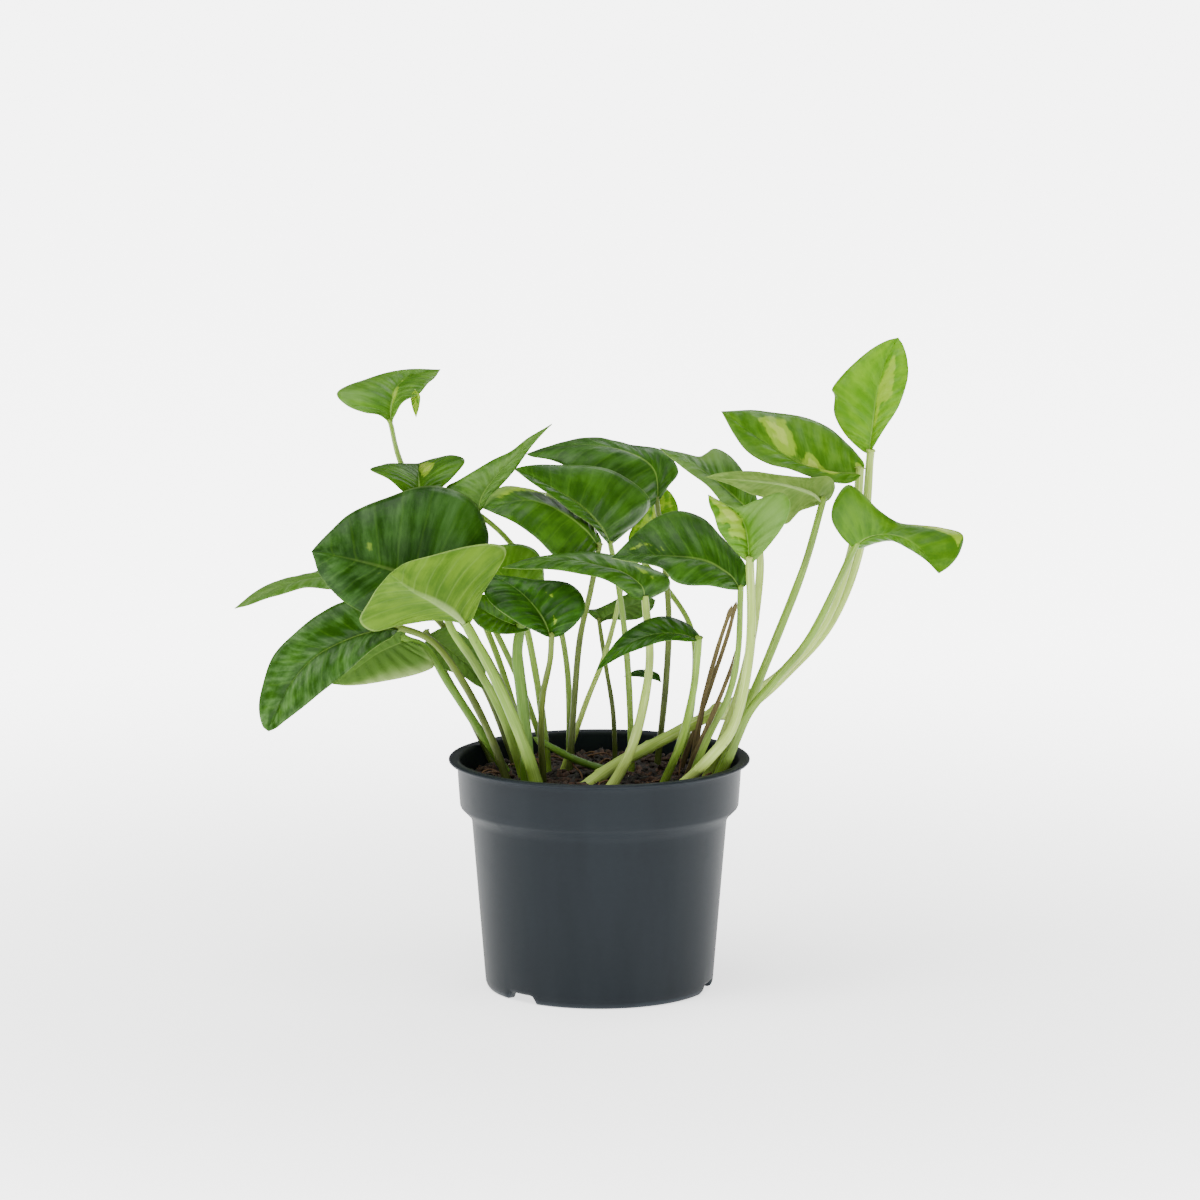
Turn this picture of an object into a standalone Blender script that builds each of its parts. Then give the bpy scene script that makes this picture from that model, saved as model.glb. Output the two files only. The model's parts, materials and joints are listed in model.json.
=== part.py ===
"""A golden pothos in a plastic nursery pot, as separate named solids.

The pot stands on the plane z = 0 with its axis on the z axis. The plant is broad along x and
its fuller side faces -y. All sizes below are in millimetres and are turned into metres once.

Each leaf is a thin blade, hung on a midrib that runs through three points, and a petiole that
carries it. Petioles spring from rooted vines or straight from the potting soil.
"""

import math

import bmesh
import bpy
import numpy as np
from mathutils import Matrix, Vector

MM = 0.001
GAP = 0.35  # clear space left between pieces that touch

# ---------------------------------------------------------------- driving dimensions, mm
POT_HEIGHT = 100.5
RIM_RADIUS = 65.0
LIP_DROP = 1.8  # thickness of the rolled lip
COLLAR_TOP_RADIUS = 61.3
COLLAR_FOOT_RADIUS = 60.0
COLLAR_FOOT_Z = 79.5
BODY_TOP_RADIUS = 55.3
BODY_TOP_Z = 74.5
BODY_FOOT_RADIUS = 49.2
POT_FOOT_RADIUS = 47.6
POT_WALL = 1.4
FLOOR_UNDERSIDE_Z = 4.0  # the floor is raised, so the pot stands on a ring
FLOOR_TOP_Z = 5.6
FOOT_RING_INNER_RADIUS = 43.0
FOOT_NOTCH_WIDTH = 15.0
FOOT_NOTCH_HEIGHT = 3.4
FOOT_NOTCH_ANGLES = (-134.5, -14.5, 105.5)  # degrees about z, from +x
DRAIN_HOLES = 6
DRAIN_HOLE_RADIUS = 4.0
DRAIN_RING_RADIUS = 31.0
DRAIN_FIRST_ANGLE = 13.0  # degrees about z, from +x
SOIL_TOP_Z = 92.4
SOIL_CROWN = 1.4  # how far the soil's middle stands above its edge
LATHE_STEPS = 40

BLADE_THICKNESS = 0.6
TUBE_RINGS = 10  # points along a petiole
ROOTING_DEPTH = 6.0  # how far a petiole's foot is sunk in the soil

VEIN_LEAN = 1.7  # how far towards the tip the side veins lean
SIGHT_FALL = 0.171  # leaf heights are given along a sight line that falls this much per mm of depth
BLADE_STATIONS = (0.0, 0.07, 0.15, 0.24, 0.33, 0.43, 0.53, 0.63, 0.73, 0.83, 0.92, 1.0)
BLADE_SHARES = (0.0, 0.5, 1.0)  # midrib, half way, margin

# ---------------------------------------------------------------- colours
POT_GREY = (0.045, 0.057, 0.066)
SOIL_BROWN = (0.030, 0.018, 0.012)
LEAF_GREEN = (0.07, 0.22, 0.02)
GOLD_GREEN = (0.26, 0.46, 0.05)
PALE_GREEN = (0.28, 0.42, 0.10)
STEM_GREEN = (0.30, 0.43, 0.12)
DRY_BROWN = (0.22, 0.12, 0.06)


def material(name, colour, roughness):
    """A Principled material of one colour."""
    made = bpy.data.materials.new(name)
    made.use_nodes = True
    shader = made.node_tree.nodes["Principled BSDF"]
    shader.inputs["Base Color"].default_value = (*colour, 1.0)
    shader.inputs["Roughness"].default_value = roughness
    shader.inputs["Metallic"].default_value = 0.0
    return made


def clear_scene():
    for obj in list(bpy.data.objects):
        bpy.data.objects.remove(obj, do_unlink=True)


def add_mesh(name, points, faces, finish):
    """A mesh object from points in millimetres."""
    mesh = bpy.data.meshes.new(name)
    mesh.from_pydata([tuple(p * MM) for p in np.asarray(points, float)], [], faces)
    mesh.update()
    obj = bpy.data.objects.new(name, mesh)
    bpy.context.scene.collection.objects.link(obj)
    mesh.materials.append(finish)
    return obj


def smooth(mesh, angle_deg=35.0):
    mesh.shade_smooth()
    mesh.set_sharp_from_angle(angle=math.radians(angle_deg))


def spline_through(points, share):
    """Points on a Catmull-Rom curve through the given points, at shares 0..1 of its knots."""
    knots = np.asarray(points, float)
    last = len(knots) - 1
    padded = np.vstack([2 * knots[0] - knots[1], knots, 2 * knots[-1] - knots[-2]])
    found = []
    for value in np.clip(np.asarray(share, float), 0, 1) * last:
        i = min(int(value), last - 1)
        t = value - i
        p0, p1, p2, p3 = padded[i : i + 4]
        found.append(
            0.5
            * (
                2 * p1
                + (p2 - p0) * t
                + (2 * p0 - 5 * p1 + 4 * p2 - p3) * t**2
                + (3 * p1 - p0 - 3 * p2 + p3) * t**3
            )
        )
    return np.array(found)


# ---------------------------------------------------------------- pot and soil
def lathe(name, profile, finish, steps=LATHE_STEPS):
    """A closed solid turned about z from an (r, z) profile that starts and ends on the axis."""
    points, rings = [], []
    for r, z in profile:
        if r < 1e-6:
            rings.append([len(points)])
            points.append((0.0, 0.0, z))
        else:
            rings.append(list(range(len(points), len(points) + steps)))
            points += [
                (r * math.cos(2 * math.pi * k / steps), r * math.sin(2 * math.pi * k / steps), z)
                for k in range(steps)
            ]
    faces = []
    for low, high in zip(rings, rings[1:]):
        for k in range(steps):
            n = (k + 1) % steps
            a, b = low[k % len(low)], low[n % len(low)]
            c, d = high[n % len(high)], high[k % len(high)]
            faces.append(tuple(dict.fromkeys((a, b, c, d))))
    obj = add_mesh(name, points, faces, finish)
    bm = bmesh.new()
    bm.from_mesh(obj.data)
    bmesh.ops.recalc_face_normals(bm, faces=bm.faces)
    bm.to_mesh(obj.data)
    bm.free()
    smooth(obj.data)
    return obj


def cut(obj, cutter, label):
    """Takes the cutter's shape out of obj and hides the cutter."""
    modifier = obj.modifiers.new(label, "BOOLEAN")
    modifier.operation = "DIFFERENCE"
    modifier.object = cutter
    cutter.hide_render = True
    cutter.display_type = "WIRE"


def body_radius(z):
    """Outer radius of the tapered body at height z."""
    share = z / BODY_TOP_Z
    return BODY_FOOT_RADIUS + (BODY_TOP_RADIUS - BODY_FOOT_RADIUS) * share


def make_pot():
    """The pot: rolled lip, stepped collar, tapered body, raised floor on a notched ring."""
    inside_foot = body_radius(FLOOR_TOP_Z) - POT_WALL
    profile = (
        (0.0, FLOOR_UNDERSIDE_Z),
        (FOOT_RING_INNER_RADIUS, FLOOR_UNDERSIDE_Z),
        (FOOT_RING_INNER_RADIUS + 0.8, 0.0),
        (POT_FOOT_RADIUS, 0.0),
        (BODY_FOOT_RADIUS, 3.0),
        (BODY_TOP_RADIUS, BODY_TOP_Z),
        (COLLAR_FOOT_RADIUS, COLLAR_FOOT_Z),
        (COLLAR_TOP_RADIUS, POT_HEIGHT - LIP_DROP - 0.7),
        (RIM_RADIUS - 0.4, POT_HEIGHT - LIP_DROP),
        (RIM_RADIUS, POT_HEIGHT - LIP_DROP / 2),
        (RIM_RADIUS - 0.6, POT_HEIGHT),
        (COLLAR_TOP_RADIUS - POT_WALL + 0.4, POT_HEIGHT - 0.5),
        (COLLAR_FOOT_RADIUS - POT_WALL, COLLAR_FOOT_Z + 0.6),
        (BODY_TOP_RADIUS - POT_WALL, BODY_TOP_Z + 0.4),
        (inside_foot, FLOOR_TOP_Z),
        (0.0, FLOOR_TOP_Z),
    )
    pot = lathe("pot", profile, material("pot_plastic", POT_GREY, 0.42))
    for index, angle in enumerate(FOOT_NOTCH_ANGLES):
        bpy.ops.mesh.primitive_cube_add(size=1)
        notch = bpy.context.object
        notch.name = f"foot_notch_cutter_{index + 1}"
        notch.scale = (16 * MM, FOOT_NOTCH_WIDTH * MM, 2 * FOOT_NOTCH_HEIGHT * MM)
        turn = math.radians(angle)
        reach = POT_FOOT_RADIUS * MM
        notch.location = (reach * math.cos(turn), reach * math.sin(turn), 0.0)
        notch.rotation_euler = (0.0, 0.0, turn)
        cut(pot, notch, f"foot_notch_{index + 1}")
    for index in range(DRAIN_HOLES):
        turn = math.radians(DRAIN_FIRST_ANGLE + 360 * index / DRAIN_HOLES)
        ring = DRAIN_RING_RADIUS * MM
        bpy.ops.mesh.primitive_cylinder_add(
            vertices=12,
            radius=DRAIN_HOLE_RADIUS * MM,
            depth=10 * MM,
            location=(ring * math.cos(turn), ring * math.sin(turn), FLOOR_TOP_Z * MM),
        )
        hole = bpy.context.object
        hole.name = f"drain_hole_cutter_{index + 1}"
        cut(pot, hole, f"drain_hole_{index + 1}")
    return pot


def make_soil():
    """The root ball of potting soil, which fills the pot from the floor to below the lip."""
    foot = FLOOR_TOP_Z + GAP
    shoulder = SOIL_TOP_Z - SOIL_CROWN
    wall = POT_WALL + GAP
    collar_here = COLLAR_FOOT_RADIUS + (COLLAR_TOP_RADIUS - COLLAR_FOOT_RADIUS) * (
        (shoulder - COLLAR_FOOT_Z) / (POT_HEIGHT - COLLAR_FOOT_Z)
    )
    profile = (
        (0.0, foot),
        (body_radius(foot) - wall, foot),
        (BODY_TOP_RADIUS - wall, BODY_TOP_Z + 0.2),
        (COLLAR_FOOT_RADIUS - wall, COLLAR_FOOT_Z + 0.8),
        (collar_here - wall, shoulder - 1.0),
        (collar_here - wall - 1.2, shoulder),
        (30.0, SOIL_TOP_Z - 0.4),
        (0.0, SOIL_TOP_Z),
    )
    return lathe("potting_soil", profile, material("potting_soil", SOIL_BROWN, 0.95))


def socket_soil(soil, foot, direction, radius, label):
    """A hole in the soil, a clear GAP wider than the stem that stands in it."""
    bpy.ops.mesh.primitive_cylinder_add(
        vertices=10,
        radius=(radius + GAP) / math.cos(math.pi / 10) * MM,
        depth=2 * (ROOTING_DEPTH + 8.0) * MM,
    )
    socket = bpy.context.object
    socket.name = f"{label}_cutter"
    socket.matrix_world = Matrix.Translation(Vector(foot + direction * (14.0 - GAP)) * MM) @ (
        Vector(direction).to_track_quat("Z", "Y").to_matrix().to_4x4()
    )
    cut(soil, socket, label)


# ---------------------------------------------------------------- leaves and stems
def lay(knots, share):
    """Points on a smooth curve through (x, y, height) knots, at shares of the knots' length."""
    knots = np.array(knots, float)
    knots[:, 2] -= SIGHT_FALL * knots[:, 1]
    steps = np.linalg.norm(np.diff(knots, axis=0), axis=1)
    places = np.concatenate([[0.0], np.cumsum(steps)]) / steps.sum()
    return spline_through(knots, np.interp(share, places, np.linspace(0, 1, len(knots))))


def blade_half(leaf, hand):
    """One half of a blade as a grid of points: rows are side veins, base to tip.

    Each vein runs from the midrib to the margin and leans to the tip; hand +1 is the right
    half. A half is bellied: its middle column is lifted by a share of the vein's length.
    """
    rib = leaf["rib"]
    edge = (rib[0], *leaf["right" if hand > 0 else "left"], rib[-1])
    stations = np.array(BLADE_STATIONS)
    root = stations**VEIN_LEAN
    margin = lay(edge, stations)
    rows = []
    for share in BLADE_SHARES:
        bone = lay(rib, root + 0.4 * (stations - root) * share)
        rows.append(bone + (margin - bone) * share)
    grid = np.array(rows).transpose(1, 0, 2)
    up = np.cross(np.gradient(grid, axis=1), np.gradient(grid, axis=0)) * hand
    up[0], up[-1] = up[1].mean(0), up[-2].mean(0)
    up /= np.linalg.norm(up, axis=2)[:, :, None]
    width = np.linalg.norm(grid[:, -1] - grid[:, 0], axis=1)
    shares = np.array(BLADE_SHARES)
    rise = leaf["belly"] * width[:, None] * 4 * shares * (1 - shares)
    rise *= np.sin(math.pi * stations[:, None]) ** 0.3
    return grid + up * rise[:, :, None]


def make_blade(name, leaf):
    """A leaf blade: both halves as one sheet, thickened evenly to a closed solid."""
    points, faces = [], []
    for hand in (-1, 1):
        start = len(points)
        points.extend(blade_half(leaf, hand).reshape(-1, 3))
        columns = len(BLADE_SHARES)
        for i in range(len(BLADE_STATIONS) - 1):
            for j in range(columns - 1):
                a = start + i * columns + j
                ring = (a, a + 1, a + columns + 1, a + columns)
                faces.append(ring if hand > 0 else ring[::-1])
    tint = {"gold": GOLD_GREEN, "pale": PALE_GREEN}.get(leaf["tint"], LEAF_GREEN)
    obj = add_mesh(name, points, faces, material(f"{name}_skin", tint, 0.4))
    bm = bmesh.new()
    bm.from_mesh(obj.data)
    bmesh.ops.remove_doubles(bm, verts=bm.verts, dist=0.02 * MM)
    bmesh.ops.dissolve_degenerate(bm, dist=0.02 * MM, edges=bm.edges)
    bm.to_mesh(obj.data)
    bm.free()
    obj.data.shade_smooth()
    thick = obj.modifiers.new("blade_thickness", "SOLIDIFY")
    thick.thickness = BLADE_THICKNESS * MM
    thick.offset = 0.0
    thick.use_rim = True
    return obj


def make_stem(name, points, radius_start, radius_end, colour, rings=TUBE_RINGS):
    """A stem as a bevelled curve with filled caps, tapering from start to end."""
    share = np.linspace(0, 1, rings)
    path = spline_through(points, share)
    data = bpy.data.curves.new(name, "CURVE")
    data.dimensions = "3D"
    data.bevel_depth = radius_start * MM
    data.bevel_resolution = 2
    data.use_fill_caps = True
    spline = data.splines.new("POLY")
    spline.points.add(rings - 1)
    for knot, place, at in zip(spline.points, path, share):
        knot.co = (*(place * MM), 1.0)
        knot.radius = 1 + (radius_end / radius_start - 1) * at
    data.materials.append(material(f"{name}_skin", colour, 0.5))
    obj = bpy.data.objects.new(name, data)
    bpy.context.scene.collection.objects.link(obj)
    return obj


def leaf(rib, left, right, belly=0.08, tint="green", petiole=(), thick=(1.7, 1.2), stop=1.2):
    """One leaf.

    rib lists the midrib's knots, base to tip; left and right list each margin's knots between
    them, seen from above with the tip ahead. belly is how far each half is bowed upwards.
    petiole lists points from its foot to just short of the blade, and its end is carried on
    until stop away from the blade's base point: more where the blade's lobes reach back.
    thick is the petiole's radius at its foot and at the blade.
    """
    return {
        "rib": rib,
        "left": left,
        "right": right,
        "belly": belly,
        "tint": tint,
        "petiole": petiole,
        "thick": thick,
        "stop": stop,
    }


LEAVES = {
    # left-hand side
    "far_left": leaf(
        rib=((-98, 24, 178), (-112, 23, 179), (-128, 22, 177.5), (-143, 20, 172.5), (-157.5, 18, 165.3)),
        left=((-106, 10, 175), (-116, 7, 173), (-128, 7, 174.5), (-140, 10, 170.5), (-150, 14, 167)),
        right=((-106, 36, 184), (-118, 38, 183), (-130, 36, 180), (-142.5, 31, 175.8), (-150, 25, 172)),
        petiole=((-36, 26, 91), (-50, 33, 125), (-68, 34, 152), (-85, 29, 167), (-96, 24, 173)),
        tint="pale",
    ),
    "top_left": leaf(
        rib=((-90, 26, 246), (-89.5, 32, 255), (-87, 42, 263.5), (-80, 49, 268), (-69, 52, 270.5)),
        left=(
            (-95, 26, 250), (-101, 28, 251.3), (-109, 31, 254), (-113.5, 35, 259), (-108, 40, 263.5),
            (-100, 46, 267), (-90, 50, 269.5), (-80, 52, 270.8),
        ),
        right=((-87.5, 23, 250.5), (-84, 25, 255.5), (-77, 32, 260.5), (-72, 44, 266)),
        petiole=((-30, 38, 91), (-46, 47, 140), (-67, 48, 186), (-85, 45, 219), (-89.5, 29, 238.5)),
        thick=(1.5, 1),
    ),
    "upper_left_small": leaf(
        rib=((-77, 13, 212), (-77.5, 18, 218), (-78, 28, 224), (-78.5, 40, 229)),
        left=((-84, 12, 216), (-90, 12, 221), (-98.5, 16, 226), (-93, 26, 228.3), (-86, 35, 229)),
        right=((-67, 14, 218.5), (-61, 16, 225), (-58, 21, 230.3), (-64, 28, 232.3), (-72, 36, 231.2)),
        petiole=((-22, 34, 91), (-36, 34, 130), (-56, 26, 172), (-72, 17, 200), (-76.6, 13.3, 207.4)),
        tint="gold", thick=(1.5, 1),
    ),
    "big_dark": leaf(
        rib=((-64, -6, 166), (-75, -10, 174), (-86.5, -14, 181), (-105.5, -20, 186.5), (-122.3, -26, 190)),
        left=(
            (-70, -10, 161.5), (-82, -14, 160), (-95, -18, 161.5), (-105.5, -21, 166),
            (-113, -23, 172), (-119, -25, 180), (-121, -26, 186),
        ),
        right=(
            (-56, -2, 174), (-48, 4, 192), (-49, 8, 203), (-55, 10, 213), (-67, 10, 218.3),
            (-78, 7, 218), (-90, 2, 213.7), (-100, -3, 210), (-108, -9, 205.5), (-115, -16, 198.5),
            (-120, -22, 193),
        ),
        petiole=((-28, 20, 91), (-38, 14, 120), (-50, 4, 146), (-62.5, -5, 164.5)),
        belly=0.1,
    ),
    "front_pale": leaf(
        rib=((-56, -32, 157.5), (-62, -36, 163), (-70, -42, 168.6), (-78.5, -49, 173), (-88, -58, 180.3)),
        left=(
            (-53.6, -33, 161), (-49.6, -34, 170.8), (-43, -36, 182), (-39.5, -39, 190),
            (-44, -43, 193), (-55, -48, 191.8), (-69, -53, 188.6), (-81, -57, 185),
        ),
        right=(
            (-61, -32, 159.5), (-67.5, -33, 160), (-75, -34, 160), (-85, -36, 158),
            (-95.5, -38, 155.3), (-101.5, -42, 160.3), (-97.3, -48, 168.5), (-93, -54, 174.5),
        ),
        petiole=((-26, -30, 91), (-31, -31, 108), (-39, -32, 129), (-47, -32, 146), (-54.5, -32, 160)),
        tint="pale", thick=(2.9, 1.9), belly=0.06,
    ),
    "low_left": leaf(
        rib=(
            (-86, 2, 156.3), (-98, -1, 155), (-111, -6, 150.5), (-122.7, -11, 143.5), (-133, -17, 131),
            (-141.3, -23, 112),
        ),
        left=(
            (-89, -6, 153), (-95, -10, 148.5), (-109, -15, 137.4), (-122.7, -19, 125.4),
            (-134, -22, 116.8), (-138, -23, 113.5),
        ),
        right=(
            (-84, 8, 162), (-95, 9, 169), (-109, 4, 168.8), (-120, -2, 163.2), (-130, -8, 155),
            (-139.5, -14, 144.8), (-144.2, -18, 131), (-145.5, -21, 122), (-144, -22.5, 114.5),
        ),
        petiole=((-39, -12, 91), (-47, -9, 112), (-58, -4, 133), (-71, 2, 150), (-84, 3, 157.5)),
        belly=0.12,
    ),
    "low_pale": leaf(
        rib=((-83, 14, 151.4), (-95, 12, 146), (-106, 10, 138), (-115, 8, 132.2)),
        left=(
            (-76, 9, 148), (-71, 6, 141), (-75, 4, 137.8), (-89, 3, 134.1), (-100, 4, 132.2),
            (-109, 6, 131.6),
        ),
        right=((-86, 24, 158), (-98, 24, 155), (-108, 18, 146), (-113, 12, 138)),
        petiole=((-40, 12, 91), (-50, 12, 107), (-66, 12, 132), (-74, 14, 144.2), (-80.3, 14.6, 147.8)),
        tint="pale", thick=(2.1, 1.6), stop=2.9,
    ),
    "behind_stems": leaf(
        rib=((-74, 24, 154), (-66, 24, 148), (-57, 21, 140), (-49, 18, 129.5)),
        left=((-66, 29, 157), (-57, 28, 152), (-50, 23, 142)),
        right=((-76, 20, 147), (-70, 18, 140), (-60, 16, 136), (-54, 16, 132)),
        petiole=((-46, 30, 91), (-56, 30, 112), (-68, 28, 134), (-73.5, 24.5, 147)),
        tint="pale", stop=2.9,
    ),
    "mid_left": leaf(
        rib=((-33, -8, 165.6), (-37, -8, 175), (-47, -10, 184), (-60, -13, 188)),
        left=((-38, -10, 167), (-46, -14, 171), (-54, -17, 177), (-59, -15, 183)),
        right=(
            (-28, -5, 167), (-24, -1, 174), (-23.7, 3, 183), (-27, 6, 190), (-35, 4, 193.2),
            (-46, -2, 192.8), (-55, -8, 190.5),
        ),
        petiole=((-22, 8, 91), (-25, 6, 120), (-29, 0, 146), (-32.5, -7, 164)),
        thick=(1.9, 1.2),
    ),
    "low_dark": leaf(
        rib=((-33.5, -16, 157.3), (-43, -21, 161), (-55, -27, 168)),
        left=((-30, -18, 156), (-38, -22, 154.3), (-48, -27, 155.6), (-54, -29, 161.5)),
        right=((-29, -15, 161), (-34, -18, 167), (-44, -21, 171), (-52, -25, 171)),
        petiole=((-31, -20, 91), (-31, -20, 106), (-33, -19, 130), (-35, -18, 148), (-34.3, -18.5, 156)),
        thick=(3.2, 2), stop=1.8,
    ),
    "small_round": leaf(
        rib=((-20.5, -36, 152.8), (-24, -35, 161), (-30, -32, 169), (-37, -29, 175), (-46, -25, 180)),
        left=(
            (-23, -39, 153.5), (-27.3, -42, 155.8), (-36, -43, 160), (-45, -39, 166.5),
            (-50.5, -32, 172), (-50, -27, 176.5),
        ),
        right=(
            (-16, -38, 153.8), (-10, -39, 158.6), (-6, -37, 164.5), (-7.5, -33, 171.5),
            (-13, -31, 176.3), (-20, -28, 177.5), (-27, -26, 177.5), (-36, -25, 179),
        ),
        petiole=((-24, -8, 91), (-25, -15, 114), (-24, -24, 132), (-21, -32, 148), (-20, -36, 156)),
        thick=(1.6, 1.2), belly=0.12,
    ),
    # middle
    "spear": leaf(
        rib=((-52, 12, 207), (-49.5, 13, 216), (-38, 16, 230), (-20.4, 20, 245.8)),
        left=(
            (-60, 14, 211), (-66, 16, 217.5), (-60, 18, 221.6), (-47, 20, 229.7), (-38, 21, 234),
            (-30.5, 21, 239.9),
        ),
        right=((-49, 12, 210), (-45.5, 11, 215), (-36, 12, 226), (-28, 16, 237.4)),
        petiole=((-13, 24, 91), (-14, 26, 135), (-22, 24, 168), (-40, 17, 193), (-51, 12, 202.5)),
        tint="pale", thick=(1.5, 1),
    ),
    "half_gold": leaf(
        rib=(
            (0, -7, 191.8), (-4, -8, 197.5), (-10, -9, 203), (-16.8, -10, 207.5), (-24, -11, 210.8),
            (-33, -12, 212), (-49.5, -13, 208.6),
        ),
        left=(
            (-6, -13, 186), (-14, -18, 184), (-20.4, -20, 188.7), (-28.4, -21, 197), (-35, -20, 202),
            (-44, -16, 206),
        ),
        right=(
            (1, -3, 194), (0, 2, 197.5), (-3, 8, 202), (-9, 14, 208), (-18, 17, 213.5),
            (-30, 16, 217.4), (-40, 7, 218.3), (-47, -5, 213.5),
        ),
        petiole=((-13, 10, 91), (-11, 10, 120), (-8.5, 6, 150), (-4, -1, 172), (-0.5, -6.5, 190)),
        tint="gold",
    ),
    "centre_veined": leaf(
        rib=((5, 6, 193), (0, 2, 201.4), (-8, -3, 209.8), (-20, -6, 217.5), (-36.5, -8, 225.8)),
        left=((2, 1, 195.5), (-4, -5, 201.8), (-11, -9, 207), (-21, -11, 214), (-30, -11, 220.8)),
        right=(
            (9.3, 10, 196.5), (14.5, 16, 201.4), (20.8, 20, 208), (22, 22, 213), (19, 21, 217.3),
            (13, 19, 221.6), (4, 16, 225.6), (-8, 10, 227.6), (-22, 2, 228), (-31, -5, 227.2),
        ),
        petiole=((14, 14, 91), (13, 14, 125), (11, 13, 152), (8, 9, 175), (5.3, 6.3, 188.5)),
    ),
    "top_centre": leaf(
        rib=(
            (25.3, 36, 212), (25.3, 37, 220), (24, 38, 226), (19, 38, 231), (9, 37, 235),
            (-4, 36, 237), (-18, 35, 236), (-31.5, 34, 233),
        ),
        left=(
            (16, 31, 207), (4, 25, 209), (-5, 22, 217), (-10, 22, 225), (-20, 26, 229.6),
            (-29, 31, 231.8),
        ),
        right=(
            (30, 38, 219), (34.3, 42, 226), (27, 48, 234.8), (12, 50, 238), (-2, 50, 240),
            (-14, 46, 238.5), (-25, 40, 235.5),
        ),
        petiole=((25, 22, 91), (29, 24, 130), (30, 28, 160), (27, 34, 190), (25, 36, 203)),
        belly=0.12,
    ),
    "gold_behind": leaf(
        rib=((21, 50, 184.5), (23, 53, 198), (25.5, 57, 210), (28.5, 60, 219)),
        left=((15, 46, 189), (12.5, 46, 197), (19, 50, 207), (23, 54, 213.5)),
        right=((28, 52, 190), (33, 54, 200), (34.5, 56, 209), (32, 58, 215.5)),
        petiole=((36, 26, 91), (41, 28, 125), (40, 36, 150), (28, 47, 168), (21.5, 50, 173)),
        tint="gold", thick=(1.4, 1),
    ),
    "centre_right": leaf(
        rib=(
            (60, -34, 173.2), (56.6, -35, 178.6), (52, -36, 182), (46.7, -37, 185), (40, -38, 186.7),
            (30, -40, 187.6), (16, -43, 188.2), (5.2, -45, 187),
        ),
        left=(
            (55, -38, 173.5), (47, -45, 174.8), (38, -51, 175.5), (31, -54, 177.5), (26, -54, 182),
            (16.5, -50, 185), (10, -47, 186),
        ),
        right=(
            (63, -32, 177), (62, -28, 184), (57.6, -24, 190), (52, -21, 197), (45, -18, 204),
            (34.6, -18, 207), (25, -22, 205), (17.5, -29, 200), (11, -38, 193),
        ),
        petiole=((38, -18, 91), (46, -21, 112), (55, -26, 132), (59, -31, 152), (59.6, -34, 176)),
        thick=(1.7, 1.2),
    ),
    "centre_long": leaf(
        rib=(
            (19.2, -24, 168.6), (18, -26, 175), (10, -29, 181), (0, -31, 183.7), (-9, -33, 185.8),
            (-20, -36, 186.3), (-30, -40, 185.3), (-41, -44, 182.8),
        ),
        left=(
            (14, -29, 170), (8, -35, 174.5), (0, -39, 178.6), (-9, -40, 180.5), (-22, -42, 182),
            (-33, -43.5, 182.3),
        ),
        right=(
            (24, -20, 170.7), (29.7, -17, 174.5), (28.5, -15, 179.5), (19, -15, 184),
            (10.4, -17, 187.3), (0, -21, 189.3), (-12, -26, 189.3), (-28, -35, 187.3),
        ),
        petiole=((4, -28, 91), (12, -27, 105), (18, -26, 124), (21.5, -25, 148), (19.8, -24, 170)),
        thick=(2.6, 1.5),
    ),
    "small_low": leaf(
        rib=((43, -44, 151.5), (34, -45, 154.5), (22, -47, 154), (10, -49, 148.5), (-1.4, -50, 138.5)),
        left=((38, -48, 151.2), (31, -50, 151.6), (22, -51, 149.8), (13, -52, 146.6), (5, -51, 142.3)),
        right=(
            (42.5, -40, 154), (37.5, -38, 158.6), (28, -37, 161.9), (20.5, -38, 161), (12.6, -41, 156),
            (6.3, -44, 150), (1.5, -48, 143.5),
        ),
        petiole=((27, -18, 91), (35, -24, 112), (40, -34, 136), (41.8, -43, 156)),
        thick=(2.1, 1.5),
    ),
    "small_behind": leaf(
        rib=((0, 30, 159.1), (4, 32, 162.5), (12, 35, 166), (24.5, 40, 169)),
        left=((-5.5, 31, 164.2), (-1, 33, 165.2), (5, 35, 168), (12, 37, 171.5), (19, 39, 172)),
        right=((5, 29, 160.5), (12, 31, 160), (18, 34, 161), (23, 38, 165)),
        petiole=((7, 26, 91), (6, 26, 115), (3, 28, 134), (0.3, 30, 151)),
        thick=(1.2, 0.9),
    ),
    "sliver": leaf(
        rib=((26.9, 23.2, 133.2), (20, 22, 137), (10.7, 21, 135.4)),
        left=((23, 20.5, 134.2), (16.5, 20, 135.3)),
        right=((25, 24.5, 137), (17, 23.5, 138.4)),
    ),
    # right-hand side
    "pale_folded": leaf(
        rib=((63.3, -46, 185), (62.5, -45, 195), (60.5, -44, 203), (55, -45, 208.5), (45.8, -48, 214)),
        left=((60, -47, 187), (54.5, -49, 193), (50, -51, 199), (48.3, -51, 205), (46.3, -50, 210)),
        right=(
            (65.3, -48, 185.5), (71, -50, 191.5), (78, -52, 201.7), (80.5, -52, 210.5),
            (76.5, -50, 215), (67, -47, 212), (59, -45.5, 208.8), (52, -46, 210.3),
        ),
        petiole=((31, -34, 91), (47, -36, 107), (58, -38, 124), (64, -42, 157), (63.7, -46, 190)),
        tint="pale", thick=(2.6, 1.8),
    ),
    "right_marbled": leaf(
        rib=((66, -4, 206.3), (58, -5, 213.5), (48, -6, 222), (38, -8, 229), (25.8, -10, 234.7)),
        left=(
            (61, -9, 204.5), (55.5, -14, 207), (50, -15, 213.5), (44.5, -15, 219.5), (34.6, -13, 227),
            (29, -12, 231.5),
        ),
        right=(
            (68, 2, 212), (64, 8, 221), (60, 11, 227), (55, 12, 232.5), (49.5, 12, 235.2),
            (45.5, 10, 233), (42.4, 8, 231.6), (35, 2, 232.8),
        ),
        petiole=((46, 0, 91), (59, 1, 125), (66, 2, 155), (69, 0, 185), (66.5, -3.5, 204)),
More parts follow.
